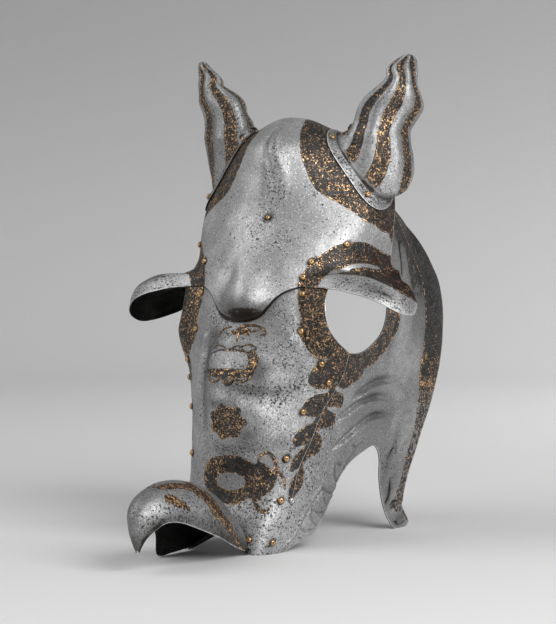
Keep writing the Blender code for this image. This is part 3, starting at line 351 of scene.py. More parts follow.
# Soft spots, here the dull shading in the hollows of the nose: strength, centre around level, size of each
NOSE_SHADE = (
    (0.8, 0.34, 5.1, 0.12, 0.24), (0.8, 0.4, 4.6, 0.26, 0.14), (0.6, 0.12, 4.74, 0.26, 0.1),
    (0.7, 0.3, 3.46, 0.14, 0.26), (0.8, -0.36, 5.84, 0.13, 0.3), (0.65, -0.43, 5.4, 0.06, 0.5),
    (0.5, -0.42, 4.3, 0.08, 0.9), (0.55, 0.76, 5.2, 0.1, 0.5), (0.65, -0.04, 5, 0.32, 0.16),
    (0.6, 0.28, 5.34, 0.08, 0.28), (0.5, -0.06, 5.66, 0.32, 0.12), (0.35, 0.02, 6.04, 0.32, 0.22),
    (0.5, 0.1, 3.12, 0.44, 0.14), (0.45, -0.1, 4.3, 0.2, 0.12), (0.35, 0.8, 2.9, 0.2, 0.5),
)
NOSE_GOLD = ((1.1, 0.03, 2.28, 0.7, 1.1), (1.2, 0.01, 3.86, 0.4, 0.5), (-2.2, 0.26, 2.66, 0.3, 0.26),
             (-1.4, -0.14, 1.8, 0.34, 0.24), (-3, -0.06, 5.28, 0.42, 0.42))
NOSE_RUSSET = ((0.5, 0.42, 2.6, 0.28, 0.5), (0.4, 0.98, 5.9, 0.2, 0.2))
NOSE_PITS = ((0.2, 0.8, 5.3, 0.35, 1), (0.6, 0.6, 1.2, 0.6, 0.6), (0.1, 0.4, 4.8, 0.4, 0.6))
# Crown spots: patina under the boss, and painted shade beside the boss and along the crease
CROWN_STAINS_AND_SHADE = ((1.3, 0.12, 6.44, 0.5, 0.36), (0.45, -0.36, 7.9, 0.16, 0.5), (0.5, -0.3, 7.05, 0.1, 0.4),
                (0.35, 0.46, 7.5, 0.1, 0.4), (0.3, 0.15, 11.2, 0.1, 0.9), (0.45, 0, 10.4, 0.04, 1.3))
CROWN_PITS = ((1, 0.14, 10.3, 0.11, 1.1), (0.6, 0.1, 8.6, 0.3, 0.4))
# Cheek spots: stains and painted shade under the folds, along the chased lines at the rear and under the
# crown
CHEEK_STAINS_AND_SHADE = ((0.6, 2.16, 4.82, 0.16, 0.09), (0.6, 2.12, 4.42, 0.14, 0.08), (0.6, 2.2, 3.92, 0.13, 0.08),
                (0.45, 2.66, 2.6, 0.05, 0.9), (0.585, 2.96, 0.62, 0.1, 0.3), (0.54, 2.78, 1.4, 0.05, 0.5),
                (0.75, 2.44, 8.8, 0.24, 0.45))

# Arched folds on the cheeks, each from the front over its top to the rear
FOLDS = (
    ((1.71, 4.22), (1.85, 4.42), (2.06, 4.64), (2.26, 4.7), (2.43, 4.56), (2.57, 4.28), (2.62, 3.9)),
    ((1.48, 3.74), (1.7, 3.96), (1.92, 4.22), (2.17, 4.3), (2.37, 4.16), (2.49, 3.92), (2.54, 3.5)),
    ((1.6, 2.9), (1.69, 3.06), (1.89, 3.38), (2.08, 3.7), (2.26, 3.8), (2.44, 3.66), (2.56, 3.28)),
)

# Chased lines on the cheeks, as on the nose; those deeper than DARK_LINE hold grime and painted shade
CHEEK_RELIEF = (
    (-1.6, 2.6, ((2.36, 8.4), (2.4, 7.8), (2.38, 7.2), (2.33, 6.5), (2.27, 5.9), (2.24, 5.4))),
    (1, 3.6, ((2.45, 8.2), (2.48, 7.4), (2.43, 6.6), (2.35, 5.9))),
    (-1.2, 2.2, ((2.62, 3.7), (2.64, 3), (2.68, 2.4))),
    (-2, 2, ((2.77, 1.88), (2.8, 1.42), (2.78, 1.16))),
    (1.2, 2.6, ((2.69, 3.6), (2.72, 2.9), (2.77, 2.2))),
    (1.4, 2.2, ((2.9, 1.34), (2.9, 1.06), (2.88, 0.6))),
    (-1.8, 1.8, ((2.85, 0.94), (2.92, 1.12), (3, 0.96), (3.06, 0.7))),
    (-1.6, 2, ((2.91, 0.52), (2.96, 0.38), (3.04, 0.5))),
    (-2.2, 1.4, ((1.97, 3.1), (2.02, 3.02))),
    (-2.2, 1.4, ((1.84, 2.6), (1.9, 2.52))),
    (-2.4, 1.6, ((2.62, 2.5), (2.68, 2.76))),
)
DARK_LINE = -1.4

# Long scales chased down the front of the jaw: outer edge, then lower arc, for each scale
JAW_SCALES = (
    ((1.68, 2.02), (1.58, 1.5), (1.55, 1.1), (1.52, 0.7), (1.44, 0.4)),
    ((1.68, 2), (1.76, 1.72), (1.87, 1.46)),
    ((1.7, 1.98), (1.8, 1.84), (1.9, 1.8)),
    ((1.62, 1.46), (1.74, 1.32), (1.86, 1.3)),
    ((1.62, 1.44), (1.68, 1.16), (1.8, 0.94)),
    ((1.55, 0.94), (1.64, 0.82), (1.74, 0.84)),
    ((1.78, 2.6), (1.84, 2.26), (1.93, 2)),
    ((2.1, 3.12), (2.02, 2.86), (1.95, 2.44), (1.9, 2.1)),
)

# Gilt trim on the snout: half width in millimetres, and a line of (share, place)
SNOUT_TRIM = (
    (6.2, ((0.16, 11.1), (0.22, 10.8), (0.28, 10.3), (0.36, 9.7))),
    (10, ((0.16, 9.5), (0.26, 9.5), (0.36, 9.6), (0.49, 9.12))),
    (12, ((0.49, 9.12), (0.58, 8.6), (0.67, 7.9))),
    (8.4, ((0.67, 7.9), (0.74, 7.5), (0.8, 7.2))),
    (5, ((0.8, 7.2), (0.9, 6.6), (1, 5.95))),
    (6.6, ((0.5, 11.25), (0.58, 11.05), (0.64, 10.92))),
    (4, ((0.64, 10.92), (0.68, 10.7), (0.74, 10.45))),
)

# Camera: its place, its turn from the front and its tilt below level in degrees, and its lens
CAMERA_PLACE = (1.23667, -2.08294, 0.37629)
CAMERA_TURN, CAMERA_TILT = 30.0, 1.99
CAMERA_LENS = 111.2


# ---------------------------------------------------------------- smooth surfaces

def smooth(value):
    """0 below 0, 1 above 1, with a smooth rise between."""
    value = np.clip(value, 0.0, 1.0)
    return value * value * (3.0 - 2.0 * value)


def rise(value, start, width):
    """0 before a start, 1 a width after it; a negative width runs the other way."""
    return smooth((value - start) / width)


def between(value, start, full, fade, end):
    """0 outside the outer two limits, 1 inside the inner two."""
    return rise(value, start, full - start) * rise(value, end, fade - end)


def bell(value, centre, width):
    """1 at a centre, falling to 0 on both sides of it."""
    return np.exp(-((value - centre) / width) ** 2)


def halo(distance, width):
    """1 up to distance 0, falling to 0 beyond it."""
    return bell(np.maximum(distance, 0.0), 0.0, width)


def extended(table):
    """A table with one row more at each end, straight on."""
    return np.concatenate([2.0 * table[:1] - table[1:2], table, 2.0 * table[-1:] - table[-2:-1]])


def along(table, place, apart=False):
    """Rows of a table at places (0 to rows - 1) on the smooth curve through it.

    Where apart is true, each place reads its own column of the table.
    """
    place = np.asarray(place, float)
    first = np.clip(np.floor(place).astype(int), 0, len(table) - 2)
    columns = (np.arange(len(place)),) if apart else ()
    longer = extended(table)
    a, b, c, d = (longer[(first + step, *columns)] for step in range(4))
    s = (place - first)[:, None]
    return 0.5 * (2.0 * b + (c - a) * s + (2.0 * a - 5.0 * b + 4.0 * c - d) * s * s
                  + (3.0 * b - a - 3.0 * c + d) * s ** 3)


def finer(table, count):
    """A table as evenly spaced rows on the smooth curve through it."""
    return along(np.array(table), np.linspace(0.0, len(table) - 1.0, count))


def bezier(a, b, c, d, share):
    """Cubic Bezier curve."""
    s = share[:, None]
    rest = 1.0 - s
    return a * rest ** 3 + b * (3.0 * rest * rest * s) + c * (3.0 * rest * s * s) + d * s ** 3


def unit(vectors):
    """Vectors of length one."""
    return vectors / np.maximum(np.linalg.norm(vectors, axis=1, keepdims=True), 1e-12)


def mask_point(around, level):
    """Points of the bare mask surface."""
    lines = np.stack([along(line, level) for line in MASK_LINES])
    point = along(lines, np.abs(around) + 1.0, apart=True)
    swing = between(np.abs(around), *SOCKET_AROUND) * between(level, *SOCKET_LEVEL)
    point = point + swing[:, None] * SOCKET_SHIFT
    point[:, 0] = np.where(around < 0.0, -point[:, 0], point[:, 0])
    return point


def mask_normal(around, level):
    """Outward normals of the mask surface."""
    step = 0.02
    across = mask_point(around + step, level) - mask_point(around - step, level)
    upward = mask_point(around, level + step) - mask_point(around, level - step)
    return unit(np.cross(across, upward))


def face_point(around, level, height):
    """Points at a height above the mask surface, with the rear rim turned out."""
    rim = RIM_HEIGHT * rise(np.abs(around), RIM_START, RIM_WIDTH)
    return mask_point(around, level) + mask_normal(around, level) * (height + rim)[:, None]


def dome(points, x, z, wide, high):
    """1 at a place seen from the front, falling to 0 round it."""
    return bell(points[:, 0], x, wide) * bell(points[:, 2], z, high)


def crown_body(around, level):
    """Outer face of the crown plate where it follows the mask, with the brow boss."""
    point = mask_point(around, level)
    height = CROWN_FACE + BOSS_HEIGHT * dome(point, *BOSS)
    return point + mask_normal(around, level) * height[:, None]


def hood_point(around, share):
    """Eye hood: share 0 where it leaves the crown, 1 on its lip."""
    away = np.abs(around)
    row = along(HOOD, (away - HOOD_START) / (CROWN_HALF_AROUND - HOOD_START) * (len(HOOD) - 1))
    side = np.where(around < 0.0, -1.0, 1.0)[:, None] ** (1, 0, 0)
    ridge = row[:, 0:3] * side
    lip = row[:, 3:6] * side
    lip[:, 2] -= np.where(around < 0.0, np.maximum(row[:, 6], 0.0), 0.0)
    root = np.full_like(around, FLARE_LEVEL)
    start = crown_body(around, root)
    down = unit(crown_body(around, root - 0.1) - start)
    outward = (ridge - start) * (1.0, 1.0, 0.0)
    reach = np.linalg.norm(outward, axis=1)[:, None]
    outward = unit(outward)
    full = np.minimum(reach / 0.050, 1.0)
    dip = 0.008 * rise(away, 1.95, -0.60) * rise(away, 0.95, 0.35)
    sweep = np.minimum(0.026, reach * 0.8 + 0.004)
    arrive = ridge - outward * np.minimum(sweep, reach * 0.6) - full * dip[:, None] * (0.0, 0.0, 1.0)
    turn = (RIDGE_SHARE - BODY_SHARE) / (1.0 - BODY_SHARE)
    upper = bezier(start, start + down * sweep, arrive, ridge, np.clip(share / turn, 0.0, 1.0))
    corner = ridge + (lip - ridge) * 0.40 + outward * 0.008 * full
    lower = bezier(ridge, ridge + (corner - ridge) * 0.6, corner + (lip - corner) * 0.4, lip,
                   np.clip((share - turn) / (1.0 - turn), 0.0, 1.0))
    return np.where((share <= turn)[:, None], upper, lower)


def seam_level(around):
    """Level of the front edge of the crown plate between the eye hoods."""
    whole = [(-a, b) for a, b in SEAM[:0:-1]] + list(SEAM)
    line = finer(whole, 12 * len(whole))
    return np.interp(around, line[:, 0], line[:, 1])


def crown_level(around, down):
    """Levels of the crown plate, its body and its front, with the front's share of the way to the edge."""
    body = TOP_LEVEL + (FLARE_LEVEL - TOP_LEVEL) * np.minimum(down, BODY_SHARE) / BODY_SHARE
    share = np.clip((down - BODY_SHARE) / (1.0 - BODY_SHARE), 0.0, 1.0)
    return body, FLARE_LEVEL + (seam_level(around) - FLARE_LEVEL) * share, share


def crown_point(around, down):
    """Outer face of the crown plate."""
    body, front, share = crown_level(around, down)
    hooded = rise(np.abs(around), HOOD_START, HOOD_BLEND)[:, None]
    front = crown_body(around, front) * (1.0 - hooded) + hood_point(around, share) * hooded
    return np.where((down <= BODY_SHARE)[:, None], crown_body(around, body), front)


# ---------------------------------------------------------------- flat patterns

def run_points(run, step):
    """Evenly spaced flat points on the smooth curve through a run, without its last point."""
    line = np.array(run) * FLAT
    dense = finer(line, 24 * (len(line) - 1) + 1)
    reach = np.concatenate([[0.0], np.cumsum(np.linalg.norm(np.diff(dense, axis=0), axis=1))])
    count = max(1, round(reach[-1] / step))
    wanted = reach[-1] * np.arange(count) / count
    return np.stack([np.interp(wanted, reach, dense[:, k]) for k in (0, 1)], axis=1)


def outline_points(runs):
    """Flat outline through a list of runs."""
    return np.concatenate([run_points(run, CUT_STEP) for run in runs])


def smooth_line(run):
    """Open flat line through (around, level) places, straight between two."""
    line = np.array(run) * FLAT
    return finer(line, 8 * (len(line) - 1) + 1) if len(line) > 2 else line


def smooth_loop(run, scale=FLAT):
    """Closed smooth flat loop through (around, level) places."""
    line = np.array(run[-1:] + run + run[:2]) * scale
    return along(line, np.linspace(0.0, len(run), 8 * len(run), endpoint=False) + 1.0)


def segment_distance(points, line):
    """For each flat point: distance to a polyline, signed side of it, and share along it."""
    best = np.full(len(points), 1e9)
    side = np.zeros(len(points))
    share = np.zeros(len(points))
    lengths = np.linalg.norm(np.diff(line, axis=0), axis=1)
    start = 0.0
    for a, b, length in zip(line[:-1], line[1:], lengths):
        way = (b - a) / max(length, 1e-9)
        offset = points - a
        t = np.clip(offset @ way, 0.0, length)
        gap = offset - t[:, None] * way
        distance = np.hypot(gap[:, 0], gap[:, 1])
        closer = distance < best
        best = np.where(closer, distance, best)
        side = np.where(closer, np.sign(way[0] * offset[:, 1] - way[1] * offset[:, 0]), side)
        share = np.where(closer, (start + t) / lengths.sum(), share)
        start += length
    return best, side, share


def line_distance(points, line):
    """Distance from points to a polyline, in any number of dimensions."""
    best = np.full(len(points), 1e9)
    for a, b in zip(line[:-1], line[1:]):
        way = b - a
        share = np.clip((points - a) @ way / max(way @ way, 1e-12), 0.0, 1.0)
        best = np.minimum(best, np.linalg.norm(points - a - share[:, None] * way, axis=1))
    return best


def inside_loop(points, loop):
    """Whether each point is inside a loop."""
    found = np.zeros(len(points), bool)
    for a, b in zip(loop, np.roll(loop, -1, axis=0)):
        if a[1] != b[1]:
            crosses = (a[1] > points[:, 1]) != (b[1] > points[:, 1])
            where = a[0] + (b[0] - a[0]) * (points[:, 1] - a[1]) / (b[1] - a[1])
            found ^= crosses & (points[:, 0] < where)
    return found


def loop_depth(points, loop):
    """Distance inside a loop in millimetres, negative outside."""
    distance = line_distance(points, np.concatenate([loop, loop[:1]])) * 1000.0
    return np.where(inside_loop(points, loop), distance, -distance)


def band_depth(flat, *loops):
    """Distance inside the nearest of some smooth loops on both sides, in millimetres."""
    right = np.stack([np.abs(flat[:, 0]), flat[:, 1]], axis=1)
    return np.maximum(np.max([loop_depth(right, smooth_loop(loop)) for loop in loops], axis=0), FAR_OUT)


def patch_depth(points, flat, loop, surface):
    """Distance inside a loop drawn on a surface, in millimetres, on both sides."""
    outline = smooth_loop(loop, np.ones(2))
    depth = np.full(len(points), FAR_OUT)
    for side in (-1.0, 1.0):
        edge = surface(outline[:, 0] * side, outline[:, 1])
        distance = line_distance(points, np.concatenate([edge, edge[:1]])) * 1000.0
        inside = inside_loop(flat, outline * (side, 1.0))
        depth = np.maximum(depth, np.where(inside, distance, -distance))
    return depth


def oval_depth(flat, centre, size, lobes, count):
    """Distance inside an oval with lobes round it, in millimetres, near enough."""
    offset = (flat / FLAT - centre) / size
    turn = np.arctan2(offset[:, 1], offset[:, 0])
    return (1.0 + lobes * np.cos(count * turn) - np.hypot(*offset.T)) * np.mean(size * FLAT) * 1000.0


def nose_ornament(flat):
    """Depth inside the etched ornaments down the middle of the nose, in millimetres."""
    medallion, panel, leaf, rosette = (oval_depth(flat, *ornament) for ornament in NOSE_ORNAMENTS)
    depth = np.max([np.minimum(medallion, -panel), leaf, rosette], axis=0)
    for width, line in STROKES:
        distance, _, share = segment_distance(flat, smooth_line(line))
        half = width / 2.0 * (0.55 + 0.45 * np.sin(np.clip(share, 0.0, 1.0) * math.pi))
        depth = np.maximum(depth, half - distance * 1000.0)
    return depth


def chased(flat, table):
    """Sum of chased lines: each a height, a half width in millimetres and a line of places."""
    return sum(height * bell(line_distance(flat, smooth_line(line)) * 1000.0, 0.0, width)
               for height, width, line in table)


def spots(flat, *table):
    """Sum of soft spots: each a strength, a centre and a size, both as around and level."""
    total = np.zeros(len(flat))
    for strength, around, level, wide, high in table:
        offset = (flat / FLAT - (around, level)) / (wide, high)
        total += strength * np.exp(-(offset ** 2).sum(axis=1))
    return total


def undulate(points, size, height):
    """Gentle unevenness of hammered plate, about a size apart."""
    total = np.zeros(len(points))
    waves = 5
    for number in range(waves):
        turn = 1.3 + 2.399 * number
        way = np.array((math.cos(turn), math.sin(turn) * 0.8, math.sin(turn * 1.7)))
        total += np.sin(points @ way * (2.0 * math.pi / size * (0.75 + 0.16 * number)) + 1.9 * number)
    return total * height / waves


def ear_reach(around, level):
    """Distance from the middle of an ear's root, 1 at the foot of the ear."""
    return np.hypot(*((np.stack([np.abs(around), level], axis=1) - EAR_ROOT) / EAR_ROOT_REACH).T)


def muzzle_height(flat):
    """Height of the nose plate's outer face above the mask surface."""
    return MUZZLE_FACE + chased(flat, NOSE_RELIEF) / 1000.0 * rise(flat[:, 1] / FLAT[1], 6.25, -0.30)


def rivet_spots():
    """Name, around, level and seat of each brass rivet."""
    for name, around, level, seat in RIVETS:
        yield name + "_right", around, level, seat
        if name not in RIGHT_ONLY:
            yield name + "_left", -around, level, seat


def rivet_shade(flat, height):
    """Dark ring round the foot of every rivet on a plate: painted shadow, with some old grime."""
    shade = np.zeros(len(flat))
    for _, around, level, seat in rivet_spots():
        if seat == height:
            offset = flat - (around, level) * FLAT
            shade = np.maximum(shade, halo(np.hypot(*offset.T) - 0.0040, 0.0021))
    return shade


def surface_fields(count, **given):
    """Fields of a plate, bare and far from any edge where nothing else is given."""
    bare = {"rust": 0.0, "stain": 0.0, "gold": 0.0, "pitted": 0.0, "etch": FAR_OUT, "rim": -FAR_OUT}
    return {key: np.full(count, value) for key, value in {**bare, **given}.items()}


# ---------------------------------------------------------------- meshes

def divide(shape, axis, step):
    """Cut a flat mesh along every grid line across one axis."""
    values = [v.co[axis] for v in shape.verts]
    normal = Vector((1.0, 0.0, 0.0)) if axis == 0 else Vector((0.0, 1.0, 0.0))
    for number in range(math.ceil(min(values) / step), math.floor(max(values) / step) + 1):
        bmesh.ops.bisect_plane(shape, geom=shape.verts[:] + shape.edges[:] + shape.faces[:],
                               dist=step * 0.15, plane_co=normal * (number * step), plane_no=normal)


def cut_plate(loops, step):
    """Flat plate inside an outline and outside its openings, divided into small even squares."""
    shape = bmesh.new()
    for loop in loops:
        corners = [shape.verts.new((x, y, 0.0)) for x, y in loop]
        for pair in zip(corners, corners[1:] + corners[:1]):
            shape.edges.new(pair)
    bmesh.ops.triangle_fill(shape, use_beauty=True, use_dissolve=False, edges=shape.edges[:],
                            normal=(0.0, 0.0, 1.0))
    divide(shape, 0, step)
    divide(shape, 1, step)
    slanted = []
    for edge in shape.edges:
        way = edge.verts[0].co - edge.verts[1].co
        if len(edge.link_faces) == 2 and min(abs(way.x), abs(way.y)) > step * 0.2:
            slanted.append(edge)
    bmesh.ops.dissolve_edges(shape, edges=slanted, use_verts=False)
    loose = [v for v in shape.verts if len(v.link_edges) == 2 and not v.is_boundary]
    bmesh.ops.dissolve_verts(shape, verts=loose)
    return shape


def grid_plate(low, high, columns, rows):
    """Flat rectangle of even squares."""
    shape = bmesh.new()
    size = np.subtract(high, low)
    bmesh.ops.create_grid(shape, x_segments=columns, y_segments=rows, size=0.5)
    bmesh.ops.scale(shape, vec=(*size, 1.0), verts=shape.verts)
    bmesh.ops.translate(shape, vec=(*(size / 2.0 + low), 0.0), verts=shape.verts)
    return shape


def places(shape):
    """Coordinates of a mesh's points."""
    return np.array([v.co for v in shape.verts])


def flat_places(shape):
    """Flat places of a mesh's points, and their around and level."""
    flat = places(shape)[:, :2]
    return flat, *(flat / FLAT).T


def move(shape, points):
    """Give a mesh's points new places."""
    for vertex, point in zip(shape.verts, points):
        vertex.co = point


def raise_relief(shape, relief):
    """Move a mesh's points along its normals."""
    shape.normal_update()
    for vertex, height in zip(shape.verts, relief):
        vertex.co += vertex.normal * float(height)


def mirror(shape):
    """Turn a right piece into a left one."""
    bmesh.ops.scale(shape, vec=(-1.0, 1.0, 1.0), verts=shape.verts)
    bmesh.ops.reverse_faces(shape, faces=shape.faces)


def face_outwards(shape, axis):
    """Turn all faces outwards, judged by the one that lies furthest along an axis."""
    bmesh.ops.recalc_face_normals(shape, faces=shape.faces)
    last = max(shape.faces, key=lambda face: face.calc_center_median()[axis])
    if last.normal[axis] < 0.0:
        bmesh.ops.reverse_faces(shape, faces=shape.faces)


def spin_profile(shape, line, steps):
    """Turn a line of new points about Z into a closed form, and give its points."""
    edges = [shape.edges.new(pair) for pair in zip(line, line[1:])]
    bmesh.ops.spin(shape, geom=line + edges, cent=(0.0, 0.0, 0.0), axis=(0.0, 0.0, 1.0),
                   angle=2.0 * math.pi, steps=steps, use_merge=True)
    bmesh.ops.remove_doubles(shape, verts=[v for v in shape.verts if not v.tag], dist=1e-6)
    fresh = [v for v in shape.verts if not v.tag]
    bmesh.ops.recalc_face_normals(shape, faces=list({face for v in fresh for face in v.link_faces}))
    return fresh


def keep_inside(mesh):
    """Hold a mesh inside the frame's box."""
    points = np.empty(len(mesh.vertices) * 3)
    mesh.vertices.foreach_get("co", points)
    points = np.clip(points.reshape(-1, 3), *CAD_BOX)
    mesh.vertices.foreach_set("co", points.ravel())


def trim_below_floor(mesh):
    """Cut a closed wall off level at the floor."""
    shape = bmesh.new()
    shape.from_mesh(mesh)
    cut = bmesh.ops.bisect_plane(shape, geom=shape.verts[:] + shape.edges[:] + shape.faces[:],
                                 plane_co=(0.0, 0.0, 0.0), plane_no=(0.0, 0.0, 1.0), clear_inner=True,
                                 dist=1e-6)
    edges = [g for g in cut["geom_cut"] if isinstance(g, bmesh.types.BMEdge)]
    if edges:
        bmesh.ops.holes_fill(shape, edges=edges, sides=0)
    shape.to_mesh(mesh)
    shape.free()


def new_piece(name, shape, materials, settle=True):
    """Object made of a shape, with its materials; settle takes it from the mask's depth to the frame's."""
    if not shape.faces:
        raise RuntimeError("the shape of %s is empty" % name)
    mesh = bpy.data.meshes.new(name)
    if settle:
        for vertex in shape.verts:
            vertex.co.y -= DEPTH_CENTRE
    shape.to_mesh(mesh)
    shape.free()
    for material in materials:
        mesh.materials.append(material)
    mesh.shade_smooth()
    piece = bpy.data.objects.new(name, mesh)
    bpy.context.scene.collection.objects.link(piece)
    return piece


def place_piece(piece, nodes):
    """Hold a finished piece inside the frame, and let it stand for its nodes."""
    keep_inside(piece.data)
    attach(piece, "root")
    if nodes:
        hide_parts(*nodes)


def make_plate(name, shape, fields, materials, nodes, trimmed=False, thin=None, wall=WALL):
    """Turn an open sheet into a finished plate that stands for its frame nodes.

    The fields become attributes that its steel reads, and thin is each point's share of the wall.
    """
    piece = new_piece(name, shape, materials)
    mesh = piece.data
    for key, values in fields.items():
        attribute = mesh.attributes.new(key, "FLOAT", "POINT")
        attribute.data.foreach_set("value", np.asarray(values, np.float32))
    thicken = piece.modifiers.new("wall", "SOLIDIFY")
    thicken.thickness = wall
    thicken.offset = -1.0
    thicken.material_offset = thicken.material_offset_rim = 1
    if thin is not None:
        group = piece.vertex_groups.new(name="wall")
        for index, share in enumerate(thin):
            group.add([index], float(share), "REPLACE")
        thicken.vertex_group = group.name
    if wall == WALL:
        edge = piece.modifiers.new("edge", "BEVEL")
        edge.width = 0.0004
        edge.segments = 2
        edge.limit_method = "ANGLE"
        edge.angle_limit = math.radians(50)
    finished = piece.evaluated_get(bpy.context.evaluated_depsgraph_get())
    solid = bpy.data.meshes.new_from_object(finished)
    piece.modifiers.clear()
    piece.data = solid
    solid.name = name
    bpy.data.meshes.remove(mesh)
    if trimmed:
        trim_below_floor(solid)
    place_piece(piece, nodes)


# ---------------------------------------------------------------- materials

class Recipe:
    """Builds the nodes of one material."""

    def __init__(self, name):
        self.material = bpy.data.materials.new(name)
        self.material.use_nodes = True
        self.tree = self.material.node_tree
        self.tree.nodes.clear()
        self.place = self.add("ShaderNodeTexCoord").outputs["Object"]

    def add(self, kind, sockets=(), **settings):
        node = self.tree.nodes.new(kind)
        for key, value in settings.items():
            setattr(node, key, value)
        for key, value in dict(sockets).items():
            if isinstance(value, bpy.types.NodeSocket):
                self.tree.links.new(value, node.inputs[key])
            else:
                node.inputs[key].default_value = value
        return node

    def field(self, name):
        return self.add("ShaderNodeAttribute", attribute_name=name).outputs["Fac"]

    def noise(self, size, detail=2.0, roughness=0.5, distortion=0.0):
        """Noise whose features are about a size across, in metres."""
        sockets = {"Vector": self.place, "Scale": 1.0 / size, "Detail": detail, "Roughness": roughness,
                   "Distortion": distortion}
        return self.add("ShaderNodeTexNoise", sockets).outputs["Fac"]

    def math(self, operation, a, b=0.0):
        return self.add("ShaderNodeMath", {0: a, 1: b}, operation=operation).outputs[0]

    def plus(self, a, b):
        return self.math("ADD", a, b)

    def times(self, a, b, *more):
        product = self.math("MULTIPLY", a, b)
        return self.times(product, *more) if more else product

    def most(self, a, b):
        return self.math("MAXIMUM", a, b)

    def ends(self, value, low, high, start, end, kind="LINEAR"):
        sockets = {"Value": value, "From Min": low, "From Max": high, "To Min": start, "To Max": end}
        return self.add("ShaderNodeMapRange", sockets, interpolation_type=kind).outputs["Result"]

    def step(self, value, low, high):
        """0 below low, 1 above high, smooth between; the other way round if low is above high."""
        if low <= high:
            return self.ends(value, low, high, 0.0, 1.0, "SMOOTHSTEP")
        return self.ends(value, high, low, 1.0, 0.0, "SMOOTHSTEP")

    def scale(self, value, low, high):
        """A value of 0 to 1 taken to low to high."""
        return self.ends(value, 0.0, 1.0, low, high)

    def blots(self, low, high, size, *kind):
        """Noise taken to 0 below low and to 1 above high."""
        return self.step(self.noise(size, *kind), low, high)

    def mix(self, factor, a, b):
        """Number a where factor is 0, b where it is 1."""
        return self.add("ShaderNodeMix", {0: factor, 2: a, 3: b}).outputs[0]

    def blend(self, factor, a, b):
        """Colour a where factor is 0, b where it is 1."""
        a, b = (v if isinstance(v, bpy.types.NodeSocket) else (*v, 1.0) for v in (a, b))
        return self.add("ShaderNodeMix", {0: factor, 6: a, 7: b}, data_type="RGBA").outputs[2]

    def shader(self, colour, metallic, roughness, height, depth):
        """The material, with a bump of a depth in metres."""
        bump = self.add("ShaderNodeBump", {"Height": height, "Distance": depth, "Strength": 1.0})
        sockets = {"Base Color": colour, "Metallic": metallic, "Roughness": roughness,
                   "Normal": bump.outputs["Normal"]}
        shader = self.add("ShaderNodeBsdfPrincipled", sockets)
        self.add("ShaderNodeOutputMaterial", {"Surface": shader.outputs["BSDF"]})
        return self.material


def times(colour, factor):
    """A colour made lighter or darker."""
    return tuple(min(1.0, value * factor) for value in colour)


